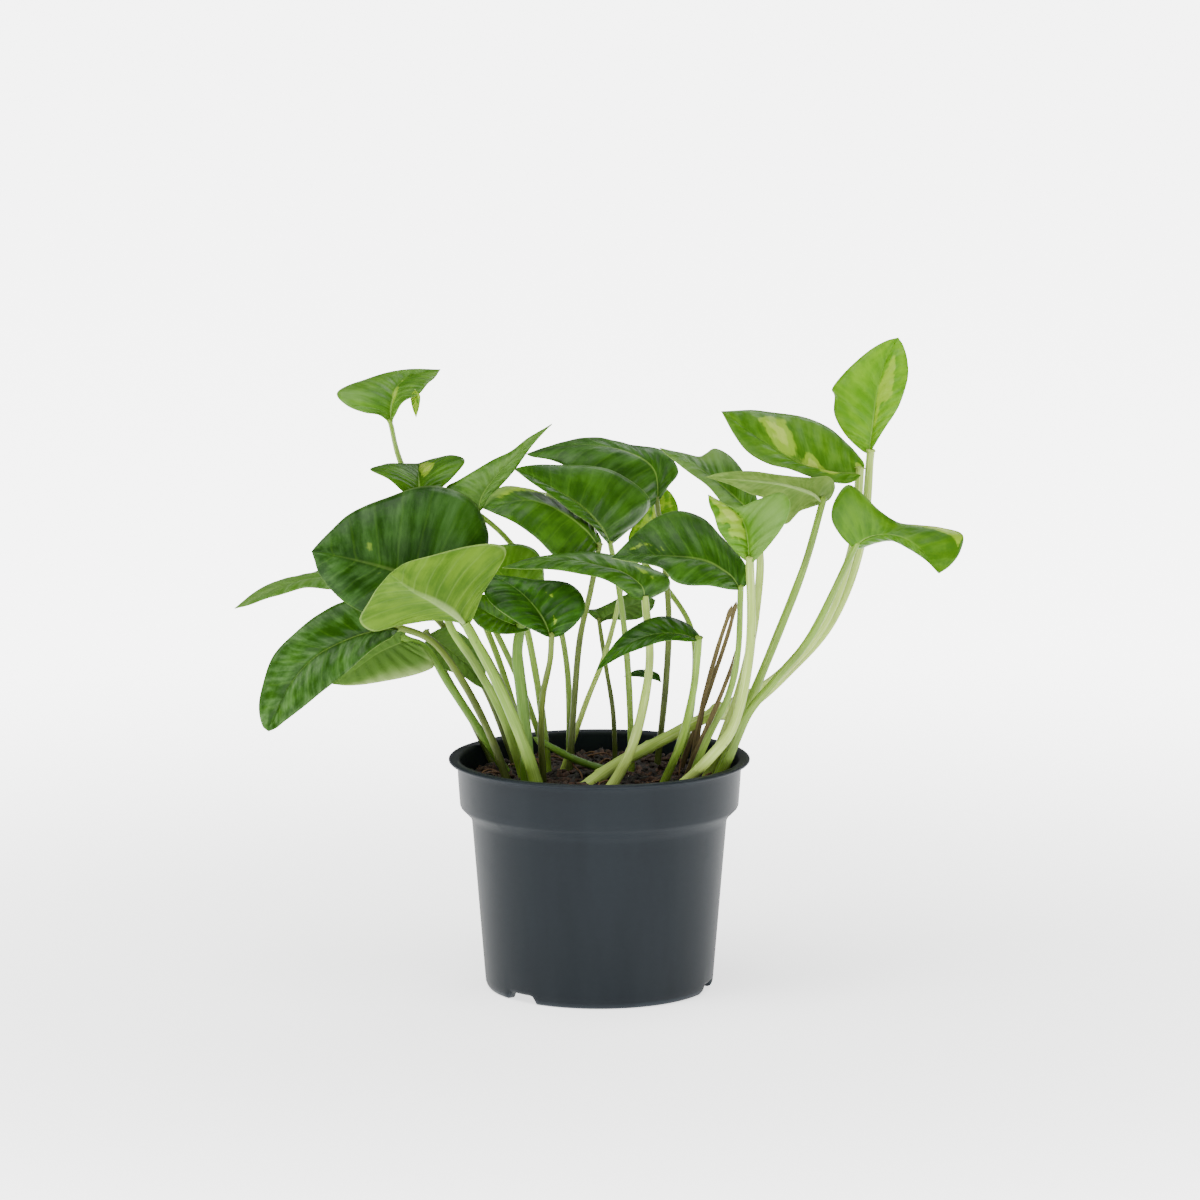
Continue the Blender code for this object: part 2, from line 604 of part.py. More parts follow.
        tint="gold", thick=(2.2, 1.4),
    ),
    "right_twisted": leaf(
        rib=((95, -2, 210.7), (90, -5, 215.5), (77, -10, 219), (61, -16, 220.8), (45, -20, 222)),
        left=(
            (99, 2, 213), (101, 2, 218.5), (98, 0, 222.6), (90, -2, 222.2), (77, -7, 223.3),
            (63.6, -13, 224.8), (52, -19, 223.8),
        ),
        right=(
            (90, -8, 209), (85, -11, 207), (80, -13, 202), (76.5, -14, 204), (72, -14, 212),
            (64, -15, 215), (55, -18, 219),
        ),
        petiole=((50, -6, 91), (64, -6, 124), (77, -5, 156), (88, -4, 185), (95, -2.5, 209)),
        tint="pale", thick=(2.4, 1.4),
    ),
    "upper_right": leaf(
        rib=(
            (113, 12, 224.4), (102, 10, 224.3), (90, 9, 227), (79, 8, 232.5), (66, 8, 241),
            (52.2, 8, 251),
        ),
        left=(
            (110.5, 8, 221.4), (105.7, 5, 219.4), (97, 2, 220.7), (90, 1, 223), (82, 0, 225.5),
            (73, -1, 227.3), (64, 1, 233), (57.6, 4, 241),
        ),
        right=(
            (114, 16, 228), (111.6, 18, 232), (107.5, 20, 237), (100, 23, 243.6), (90, 24, 248),
            (80, 24, 250.6), (69, 20, 251.8), (60, 14, 251.4),
        ),
        petiole=((57.1, 12.3, 121.6), (77, 19, 132), (97, 17, 156), (109, 14, 190), (112, 12, 219.5)),
        tint="gold", thick=(2.4, 1.7), belly=0.1, stop=2.0,
    ),
    "top_right": leaf(
        rib=(
            (116, 18, 232.5), (117.7, 19, 246), (119, 21, 257), (121.2, 23, 267), (125, 25, 277),
            (128.6, 26, 283.6),
        ),
        left=(
            (112.5, 18, 234.5), (106, 20, 241), (101.2, 22, 250), (101.2, 24, 258),
            (100.2, 24.5, 261.5), (106.3, 26, 269), (115.5, 26, 277.5), (123, 26, 282),
        ),
        right=(
            (118.5, 17, 236.5), (123.4, 16, 245), (129.5, 16, 255), (132.4, 18, 265), (132.3, 21, 274),
            (130.8, 24, 280),
        ),
        petiole=(
            (47.6, 16.1, 115.7), (62, 22, 116.5), (80, 27, 131), (101, 25, 156), (113, 21, 190),
            (116.5, 18, 226),
        ),
        tint="gold", thick=(2.4, 1.7), belly=0.1,
    ),
    "far_right": leaf(
        rib=((108.4, -14, 191.5), (115, -16, 196), (124, -19, 197.3), (134, -23, 193), (144.5, -26, 180.4)),
        left=(
            (103, -18, 196.5), (98.7, -20, 204), (100, -20, 212), (105.7, -19, 218.8), (113, -17, 214),
            (119.4, -15, 207.8), (127.6, -13, 202.5), (136, -12, 201.3), (146, -12, 200.2),
            (154.9, -14, 197.5), (153.8, -19, 190), (149.5, -23, 184),
        ),
        right=((112, -10, 191.5), (118, -12, 193.5), (125, -16, 194.5), (131, -20, 191.5), (139, -24, 186)),
        petiole=(
            (50, -14, 91), (57, -15, 107), (64, -16, 123), (76, -16, 138), (91, -15, 157),
            (108, -14, 191),
        ),
        thick=(2.2, 1.5),
    ),
}

VINES = {
    # rooted stems: points from the buried end to the last node, and radius at each end
    "vine_left": (((4, -4, 95), (-10, -2, 99.5), (-20, -1, 104.5), (-28, -1, 109)), 1.7, 1.4),
    "vine_right": (((-4, -16, 92), (6, -9, 98), (20, 0, 104), (36, 8, 111), (56, 12, 121)), 2.9, 2.5),
    "stem_sheathed": (((-32, -10, 91), (-41, -13, 120), (-53, -17, 144), (-62, -20, 158), (-66, -21, 168)), 2.2, 1.6),
    "stem_yellow": (((-16, 16, 91), (-6, 18, 120), (2, 22, 140), (8, 23, 162), (10, 22, 176)), 1.4, 1.0),
}
SHEATHS = {
    # dead, papery leaf bases that still stand
    "dry_sheath": (((35, 20, 91), (46, 18, 122), (55, 14, 150), (59, 12, 166)), 1.3, 0.8),
}


def reach_blade(one):
    """A petiole's points, the last one carried on to stop just short of its blade's base."""
    if not one["petiole"]:
        return ()
    path = np.array(one["petiole"], float)
    base = np.array(one["rib"][0], float)
    base[2] -= SIGHT_FALL * base[1]
    ahead = base - path[-1]
    path[-1] += ahead * max(0.0, 1 - one["stop"] / np.linalg.norm(ahead))
    return path


def make_plant(soil):
    """Blades and stems. A stem whose foot reaches the soil is carried on down into a socket."""
    stems = {f"petiole_{n}": (reach_blade(o), *o["thick"], STEM_GREEN) for n, o in LEAVES.items()}
    stems |= {name: (*spec, STEM_GREEN) for name, spec in VINES.items()}
    stems |= {name: (*spec, DRY_BROWN) for name, spec in SHEATHS.items()}
    for name, one in LEAVES.items():
        make_blade(f"leaf_{name}", one)
    for name, (points, start, end, colour) in stems.items():
        if len(points) == 0:
            continue
        path = np.array(points, float)
        if path[0][2] < SOIL_TOP_Z:
            direction = path[1] - path[0]
            direction /= np.linalg.norm(direction)
            foot = path[0] - direction * ROOTING_DEPTH
            socket_soil(soil, foot, direction, start, f"socket_{name}")
            path = np.vstack([foot, path])
        make_stem(name, path, start, end, colour)


clear_scene()
make_pot()
make_plant(make_soil())
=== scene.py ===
"""A golden pothos in a slate-grey nursery pot.

The file follows the plant as a grower puts it together: pot, soil, stems, then the leaves from
the left of the plant to the right. Lengths inside a section are millimetres unless they say
otherwise, and every mesh is turned into metres as it is made.
"""

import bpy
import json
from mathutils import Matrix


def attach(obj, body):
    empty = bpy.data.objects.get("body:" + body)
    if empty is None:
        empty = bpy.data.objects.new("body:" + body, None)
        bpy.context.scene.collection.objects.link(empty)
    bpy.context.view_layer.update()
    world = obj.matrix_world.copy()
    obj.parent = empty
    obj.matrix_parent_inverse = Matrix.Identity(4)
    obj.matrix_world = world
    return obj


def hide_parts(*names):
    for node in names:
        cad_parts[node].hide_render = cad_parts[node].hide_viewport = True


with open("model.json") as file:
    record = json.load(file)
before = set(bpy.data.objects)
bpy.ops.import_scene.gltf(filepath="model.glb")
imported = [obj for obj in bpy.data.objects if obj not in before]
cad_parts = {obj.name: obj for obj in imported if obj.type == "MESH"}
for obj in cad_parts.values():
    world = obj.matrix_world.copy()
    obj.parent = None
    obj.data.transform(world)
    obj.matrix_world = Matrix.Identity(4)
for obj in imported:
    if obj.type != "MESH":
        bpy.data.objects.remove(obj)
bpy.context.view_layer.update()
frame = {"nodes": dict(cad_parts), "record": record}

import json
import math

import bmesh
import bpy
import numpy as np

# ------------------------------------------------------------------------------------------
# Camera and studio. The plant stands on a pale floor that glows as painted light, dimmed round the pot
# as painted shade, under soft daylight lamps, seen from the front and slightly above through a long
# lens. None of this belongs to the plant.
AIM_SIDE = 0.0003
AIM_HEIGHT = 0.169
EYE_DISTANCE = 3.0
EYE_ELEVATION = math.radians(9.7)
EYE_LENS = 209.7
SKY_SPREAD = math.radians(50.0)


def stand(name, data):
    """A new object in the scene, made of a mesh, a lamp or a camera."""
    thing = bpy.data.objects.new(name, data)
    bpy.context.scene.collection.objects.link(thing)
    return thing


def hang(name, kind, place, aim, energy, tint, **settings):
    """Hangs a lamp at a place in metres and turns it to face its aim."""
    lamp = bpy.data.lights.new(name, kind)
    lamp.energy = energy
    lamp.color = tint
    for key, value in settings.items():
        setattr(lamp, key, value)
    away = np.array(place) - np.array(aim)
    flat = math.hypot(away[0], away[1])
    holder = stand(name, lamp)
    holder.location = place
    holder.rotation_euler = (math.atan2(flat, away[2]), 0.0, math.atan2(away[0], -away[1]))


eye = stand("studio_camera", bpy.data.cameras.new("studio_camera"))
eye.data.lens = EYE_LENS
eye.data.sensor_width = 36.0
eye.data.clip_end = 60.0
eye.location = (
    AIM_SIDE,
    -EYE_DISTANCE * math.cos(EYE_ELEVATION),
    AIM_HEIGHT + EYE_DISTANCE * math.sin(EYE_ELEVATION),
)
eye.rotation_euler = (math.pi / 2 - EYE_ELEVATION, 0.0, 0.0)
bpy.context.scene.camera = eye

hang("noon_sky", "SUN", (-0.5, -0.5, 3.0), (0, 0, 0), 3.0, (1.0, 1.0, 1.0), angle=SKY_SPREAD)
hang("key_softbox", "AREA", (-1.2, -0.9, 1.9), (0, 0, 0.18), 26.0, (1.0, 1.0, 0.98), size=1.0)
hang("fill_softbox", "AREA", (1.4, -1.6, 0.9), (0, 0, 0.15), 9.0, (0.97, 0.99, 1.0), size=1.4)
hang("rim_softbox", "AREA", (0.7, 1.3, 1.5), (0, 0, 0.18), 12.0, (0.96, 0.99, 1.0), size=0.9)

daylight = bpy.data.worlds.new("daylight")
daylight.use_nodes = True
glow = daylight.node_tree.nodes["Background"].inputs
glow["Color"].default_value = (1.0, 1.0, 1.0, 1.0)
glow["Strength"].default_value = 0.3
bpy.context.scene.world = daylight


class Wire:
    """One socket in a material's node graph, from which further nodes are made."""

    def __init__(self, tree, socket):
        self.tree = tree
        self.socket = socket

    def node(self, kind, settings, sockets, out=0):
        """Adds a node: its settings first, then its sockets' values or links."""
        made = self.tree.nodes.new("ShaderNode" + kind)
        for key, value in settings.items():
            setattr(made, key, value)
        for key, value in sockets.items():
            if isinstance(value, Wire):
                self.tree.links.new(value.socket, made.inputs[key])
            else:
                made.inputs[key].default_value = value
        return Wire(self.tree, made.outputs[out])

    def math(self, operation, first, second=0.0):
        return self.node("Math", {"operation": operation}, {0: first, 1: second})

    def __add__(self, other):
        return self.math("ADD", self, other)

    def __radd__(self, other):
        return self.math("ADD", other, self)

    def __sub__(self, other):
        return self.math("SUBTRACT", self, other)

    def __rsub__(self, other):
        return self.math("SUBTRACT", other, self)

    def __mul__(self, other):
        return self.math("MULTIPLY", self, other)

    def __rmul__(self, other):
        return self.math("MULTIPLY", other, self)

    def step(self, low, high):
        """0 where this value is at low, 1 at high, smoothly between them."""
        sockets = {"Value": self, "From Min": low, "From Max": high}
        return self.node("MapRange", {"interpolation_type": "SMOOTHSTEP"}, sockets)

    def between(self, first, second):
        """The first colour where this value is 0, the second where it is 1."""
        sockets = {0: self}
        for key, colour in ((6, first), (7, second)):
            sockets[key] = colour if isinstance(colour, Wire) else (*colour, 1.0)
        return self.node("Mix", {"data_type": "RGBA"}, sockets, out=2)

    def noise(self, scale, detail, roughness=0.5):
        """Cloudy noise over this place."""
        sockets = {"Vector": self, "Scale": scale, "Detail": detail, "Roughness": roughness}
        return self.node("TexNoise", {}, sockets)

    def cells(self, scale, out="Color"):
        """A cell pattern over this place: each cell's own colour, or the distance to its middle."""
        return self.node("TexVoronoi", {}, {"Vector": self, "Scale": scale}, out)

    def stretched(self, *scale):
        """This place with each of its axes scaled on its own."""
        return self.node("Mapping", {}, {"Vector": self, "Scale": scale})

    def axis(self, name):
        """This place's X, Y or Z alone."""
        return self.node("SeparateXYZ", {}, {"Vector": self}, name)

    def bump(self, strength, distance):
        """A Normal made from this height over the surface; distance is in metres."""
        return self.node("Bump", {}, {"Strength": strength, "Distance": distance, "Height": self})


def new_finish(name, **constants):
    """A material with one Principled shader, whose constant sockets are set straight away.

    It comes with its shader and with the wire that carries the place on the object.
    """
    finish = bpy.data.materials.new(name)
    finish.use_nodes = True
    shader = finish.node_tree.nodes["Principled BSDF"]
    for label, value in constants.items():
        label = label.replace("_", " ").title().replace("Ior", "IOR")
        shader.inputs[label].default_value = value
    return finish, shader, Wire(finish.node_tree, None).node("TexCoord", {}, {}, "Object")


def feed(shader, wire, label):
    """Links a wire to one of the shader's sockets."""
    wire.tree.links.new(wire.socket, shader.inputs[label])


# The floor glows: its emission is painted light that makes the backdrop white, and within about a metre of
# the pot it is dimmed into a painted soft shadow.
floor_finish, shader, place = new_finish("studio_floor", roughness=0.9, emission_strength=5.0)
colour = place.noise(3.0, 4.0).between((0.93, 0.93, 0.93), (0.95, 0.95, 0.95))
feed(shader, colour, "Base Color")
distance = place.node("VectorMath", {"operation": "LENGTH"}, {0: place}, "Value")
colour = distance.step(0.1, 0.9).between((0.35, 0.35, 0.35), (1.0, 1.0, 1.0))
feed(shader, colour, "Emission Color")
floor_mesh = bpy.data.meshes.new("studio_floor")
floor_mesh.from_pydata([(-30, -10, 0), (30, -10, 0), (30, 50, 0), (-30, 50, 0)], [], [(0, 1, 2, 3)])
floor_mesh.materials.append(floor_finish)
stand("studio_floor", floor_mesh)


# ------------------------------------------------------------------------------------------
# Nursery pot. One moulding of slate-grey polypropylene, 130 mm across its rolled lip, with a
# stepped collar for stacking, a tapered body, three notches in its foot and a drained floor.
POT_STEPS = 180
POT_PROFILE = (  # radius, height; from the floor's middle, round the outside, to the inside
    (0.0, 4.0), (20.0, 4.0), (42.4, 4.0), (43.2, 3.4), (43.8, 0.3), (44.3, 0.0), (47.0, 0.0),
    (47.9, 0.35), (48.6, 1.2), (49.15, 2.6), (49.4, 5.0), (50.2, 15.0), (51.6, 32.0),
    (53.2, 52.0), (54.6, 69.0), (54.95, 73.0), (55.4, 74.6), (56.6, 76.2), (58.6, 78.2),
    (59.7, 79.3), (60.1, 80.2), (60.3, 83.0), (60.8, 90.0), (61.15, 96.0), (61.4, 97.6),
    (62.0, 98.4), (63.4, 98.75), (64.4, 98.9), (64.9, 99.4), (64.95, 99.9), (64.5, 100.4),
    (63.2, 100.5), (61.2, 100.3), (60.3, 99.8), (59.9, 98.6), (59.5, 92.0), (58.8, 81.5),
    (58.2, 79.9), (54.2, 75.4), (53.6, 73.8), (52.2, 55.0), (50.4, 30.0), (48.2, 6.4),
    (47.4, 5.6), (20.0, 5.6), (0.0, 5.6),
)
FOOT_INNER_RADIUS = 42.8
FOOT_NOTCHES = (-134.5, -14.5, 105.5)
NOTCH_HALF_WIDTH = 7.6
NOTCH_EASE = 1.2
NOTCH_HEIGHT = 3.5
NOTCH_TOP = 6.0
DRAIN_TURNS = (13.0, 73.0, 133.0, 193.0, 253.0, 313.0)
DRAIN_CIRCLE = 0.031
DRAIN_RADIUS = 0.004
DRILL_LENGTH = 0.012
DRILL_HEIGHT = 0.0048
MILLIMETRE = 0.001


def grid_faces(rows, columns, closed_across=True):
    """One quad between each four neighbours of a grid whose points are numbered row by row.

    closed_across joins the last column to the first.
    """
    across = columns if closed_across else columns - 1
    i, j = np.meshgrid(np.arange(rows - 1), np.arange(across), indexing="ij")
    here, beside = i * columns + j, i * columns + (j + 1) % columns
    return np.stack([here, beside, beside + columns, here + columns], -1).reshape(-1, 4)


def solid_from_grid(name, points):
    """A mesh from a closed grid of points in millimetres (rows, columns, 3)."""
    mesh = bpy.data.meshes.new(name)
    mesh.from_pydata(points.reshape(-1, 3) * MILLIMETRE, [], grid_faces(*points.shape[:2]))
    return mesh


def tidy_mesh(mesh, merge=1e-6):
    """Merges points that lie on each other and turns every face outwards."""
    work = bmesh.new()
    work.from_mesh(mesh)
    bmesh.ops.remove_doubles(work, verts=work.verts, dist=merge)
    bmesh.ops.dissolve_degenerate(work, dist=merge, edges=work.edges)
    bmesh.ops.recalc_face_normals(work, faces=work.faces)
    work.to_mesh(mesh)
    work.free()


def show(name, mesh, slot, *nodes):
    """Puts a finished mesh in the scene: it rides on the one body and stands for CAD nodes."""
    piece = stand(name, mesh)
    mesh.shade_smooth()
    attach(piece, "root")
    if nodes:
        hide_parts(*nodes)


def turned(profile, steps):
    """A profile (radius, height) turned about z: x = r cos a, y = r sin a, as a grid."""
    radius, height = np.array(profile, float).T
    angle = np.linspace(0, 2 * math.pi, steps, endpoint=False)
    around = (np.cos(angle), np.sin(angle), np.ones_like(angle))
    return np.stack([np.outer(a, b) for a, b in zip((radius, radius, height), around)], -1)


pot_grid = turned(POT_PROFILE, POT_STEPS)
angles = np.degrees(np.arctan2(pot_grid[..., 1], pot_grid[..., 0]))
radii = np.hypot(pot_grid[..., 0], pot_grid[..., 1])
for notch in FOOT_NOTCHES:
    # inside the notch the foot is lifted: low points rise to the notch's height, edges eased
    off = np.abs((angles - notch + 180) % 360 - 180)
    reach = np.radians(off) * radii
    inside = np.clip((NOTCH_HALF_WIDTH - reach) / NOTCH_EASE + 0.5, 0, 1)
    inside *= radii > FOOT_INNER_RADIUS
    level = pot_grid[..., 2]
    lifted = NOTCH_HEIGHT + level * (NOTCH_TOP - NOTCH_HEIGHT) / NOTCH_TOP
    eased = level * (1 - inside) + lifted * inside
    pot_grid[..., 2] = np.where(level < NOTCH_TOP, eased, level)
pot_mesh = solid_from_grid("nursery_pot", pot_grid)
tidy_mesh(pot_mesh)

drill_mesh = bpy.data.meshes.new("drain_drill")
drill = bmesh.new()
for turn in np.radians(DRAIN_TURNS):
    shaft = bmesh.ops.create_cone(
        drill, cap_ends=True, segments=28, radius1=DRAIN_RADIUS, radius2=DRAIN_RADIUS, depth=DRILL_LENGTH
    )
    shift = (DRAIN_CIRCLE * math.cos(turn), DRAIN_CIRCLE * math.sin(turn), DRILL_HEIGHT)
    bmesh.ops.translate(drill, verts=shaft["verts"], vec=shift)
drill.to_mesh(drill_mesh)
drill.free()
drill_piece = stand("drain_drill", drill_mesh)
blank = stand("pot_blank", pot_mesh)
cutting = blank.modifiers.new("drains", "BOOLEAN")
cutting.object = drill_piece
cutting.operation = "DIFFERENCE"
drained = blank.evaluated_get(bpy.context.evaluated_depsgraph_get())
pot_mesh = bpy.data.meshes.new_from_object(drained)
pot_mesh.name = "nursery_pot"
bpy.data.objects.remove(blank)
bpy.data.objects.remove(drill_piece)

plastic, shader, place = new_finish("slate_polypropylene", roughness=0.5, specular_ior_level=0.12)
flow = place.stretched(60, 60, 9).noise(1.0, 5.0)
dust = place.noise(45.0, 6.0, 0.7)
rubbed = dust.step(0.52, 0.78) * place.axis("Z").step(0.02, 0.1)
colour = flow.step(0.35, 0.7).between((0.0075, 0.0108, 0.0140), (0.0100, 0.0138, 0.0174))
colour = (rubbed * 0.12).between(colour, (0.03, 0.036, 0.042))
feed(shader, colour, "Base Color")
feed(shader, 0.44 + 0.1 * flow + 0.12 * rubbed, "Roughness")
feed(shader, place.noise(900.0, 3.0).bump(0.25, 0.00006), "Normal")
pot_mesh.materials.clear()
pot_mesh.materials.append(plastic)
show("nursery_pot", pot_mesh, "pot_plastic", "pot")
pot_mesh.set_sharp_from_angle(angle=math.radians(50))


# ------------------------------------------------------------------------------------------
# Potting soil. A dark peat and bark mix that fills the pot to just below the lip. Its top is
# crumbed, with shreds of bark and white perlite, and it sinks at the wall.
SOIL_LEVEL = 92.2
SOIL_RADIUS = 58.4
SOIL_RINGS = 96
SOIL_STEPS = 300
CRUMB_RADIUS = 56.5


def ripples(x, y, count, shortest, longest, seed):
    """Gentle random relief: a sum of sine waves in random directions, finer ones lower."""
    dice = np.random.default_rng(seed)
    total = np.zeros_like(x)
    for _ in range(count):
        length = dice.uniform(shortest, longest)
        turn, phase = dice.uniform(0, 2 * math.pi, 2)
        ahead = x * math.cos(turn) + y * math.sin(turn)
        total += length / longest * np.sin(ahead * 2 * math.pi / length + phase)
    return total / math.sqrt(count)


def soil_height(x, y):
    """The soil's top: a slight crown, broad dips, crumbs, and a fall to the wall of the pot."""
    radius = np.hypot(x, y)
    broad = 0.9 * ripples(x, y, 10, 18, 45, 11)
    crumbs = 0.75 * np.abs(ripples(x, y, 26, 2.2, 6.5, 12))
    wall = -1.2 * np.clip((radius - 50) / 9, 0, 1) ** 2
    return SOIL_LEVEL - 0.9 + broad + crumbs + wall


rings = [(radius, 0.0) for radius in np.linspace(0, SOIL_RADIUS, SOIL_RINGS)]
top = turned(rings, SOIL_STEPS)
top[..., 2] = soil_height(top[..., 0], top[..., 1])
top[0] = top[0].mean(0)
side = [(58.2, 84.0), (57.8, 80.5), (53.4, 75.0), (48.0, 9.0), (47.0, 6.2), (20.0, 6.0), (0.0, 6.0)]
soil_mesh = solid_from_grid("potting_soil", np.concatenate([top, turned(side, SOIL_STEPS)]))
tidy_mesh(soil_mesh)

peat, shader, place = new_finish("damp_peat_mix", roughness=0.95)
clods = place.noise(260.0, 8.0, 0.7)
bit_tone = place.node("SeparateColor", {}, {"Color": place.cells(420.0)}, "Red")
colour = clods.step(0.3, 0.72).between((0.004, 0.0022, 0.0014), (0.022, 0.010, 0.005))
colour = (bit_tone.step(0.86, 0.92) * 0.7).between(colour, (0.09, 0.034, 0.014))
feed(shader, colour, "Base Color")
feed(shader, 0.8 + 0.2 * clods, "Roughness")
feed(shader, clods.bump(1.0, 0.0012), "Normal")
soil_mesh.materials.append(peat)
show("potting_soil_top", soil_mesh, "potting_soil", "potting_soil")


def scatter(name, count, low, high, stretch, flat, seed, rows=5, sides=6):
    """Many small lumps in one mesh: each a squashed, stretched ball of rows of points.

    A point is centre + turn * (size * stretch * unit ball point), with the ball's radius
    jittered by row and column so that no two lumps match.
    """
    dice = np.random.default_rng(seed)
    radius = np.sqrt(dice.uniform(0, CRUMB_RADIUS**2, count))
    turn = dice.uniform(0, 2 * math.pi, count)
    cx, cy = radius * np.cos(turn), radius * np.sin(turn)
    size = low + (high - low) * dice.uniform(0, 1, count) ** 2.5
    lat = np.linspace(-math.pi / 2, math.pi / 2, rows)
    lon = np.linspace(0, 2 * math.pi, sides, endpoint=False)
    a, b = np.meshgrid(lat, lon, indexing="ij")
    ball = np.stack([np.cos(a) * np.cos(b), np.cos(a) * np.sin(b), np.sin(a)], -1)
    wobble = 1 + 0.28 * dice.uniform(-1, 1, (count, rows, sides, 1))
    wobble[:, 0] = wobble[:, 0, :1]
    wobble[:, -1] = wobble[:, -1, :1]
    lumps = ball * wobble * size[:, None, None, None]
    lumps[..., 0] *= 1 + (stretch - 1) * dice.uniform(0.3, 1, (count, 1, 1))
    lumps[..., 2] *= flat
    yaw, tip = dice.uniform(0, 2 * math.pi, (count, 1, 1)), dice.normal(0, 0.35, (count, 1, 1))
    u = lumps[..., 0] * np.cos(tip) - lumps[..., 2] * np.sin(tip)
    w = lumps[..., 0] * np.sin(tip) + lumps[..., 2] * np.cos(tip)
    v = lumps[..., 1]
    turned_lumps = [u * np.cos(yaw) - v * np.sin(yaw), u * np.sin(yaw) + v * np.cos(yaw), w]
    centres = np.stack([cx, cy, soil_height(cx, cy) + size * flat * 0.45], -1)
    points = np.stack(turned_lumps, -1) + centres[:, None, None]
    firsts = rows * sides * np.arange(count)
    every = grid_faces(rows, sides)[None] + firsts[:, None, None]
    mesh = bpy.data.meshes.new(name)
    mesh.from_pydata(points.reshape(-1, 3) * MILLIMETRE, [], every.reshape(-1, 4))
    tidy_mesh(mesh, 1e-7)
    return mesh


bark, shader, place = new_finish("bark_crumbs", roughness=0.9)
tone = place.node("SeparateColor", {}, {"Color": place.cells(180.0)}, "Green")
fibre = place.noise(1400.0, 4.0)
colour = tone.step(0.1, 0.95).between((0.005, 0.003, 0.002), (0.055, 0.022, 0.010))
feed(shader, fibre.step(0.35, 0.8).between(colour, (0.014, 0.008, 0.005)), "Base Color")
feed(shader, fibre.bump(0.8, 0.0004), "Normal")
bark_mesh = scatter("bark_crumbs", 1500, 0.35, 2.0, 2.6, 0.62, 21)
bark_mesh.materials.append(bark)
show("bark_crumbs", bark_mesh, "potting_soil")

foam, shader, place = new_finish("perlite", roughness=0.9)
pores = place.noise(1600.0, 5.0)
feed(shader, pores.step(0.3, 0.6).between((0.42, 0.38, 0.33), (0.85, 0.83, 0.79)), "Base Color")
feed(shader, pores.bump(0.9, 0.0003), "Normal")
foam_mesh = scatter("perlite_grains", 60, 0.35, 1.05, 1.3, 0.9, 22)
foam_mesh.materials.append(foam)
show("perlite_grains", foam_mesh, "potting_soil")


# ------------------------------------------------------------------------------------------
# Stems. Juicy pale green petioles, each with a channel down its inner side and the wings of a
# sheath low down, and rooted vines with a ring at every node. They are rooted in the soil.
def through(knots, share):
    """Catmull-Rom curve: each span is the cubic that leaves its knots along their neighbours' line."""
    knots = np.asarray(knots, float)
    padded = np.vstack([2 * knots[0] - knots[1], knots, 2 * knots[-1] - knots[-2]])
    value = np.clip(share, 0, 1) * (len(knots) - 1)
    span = np.minimum(value.astype(int), len(knots) - 2)
    t = (value - span)[..., None]
    p0, p1, p2, p3 = (padded[span + step] for step in range(4))
    bend, twist = 2 * p0 - 5 * p1 + 4 * p2 - p3, 3 * p1 - p0 - 3 * p2 + p3
    return 0.5 * (2 * p1 + (p2 - p0) * t + bend * t**2 + twist * t**3)


def beyond(before, last, by):
    """The point that lies so many millimetres past the last one, in line with the one before."""
    step = last - before
    return last + step / np.linalg.norm(step) * by


RINGS_PER_KNOT = 12


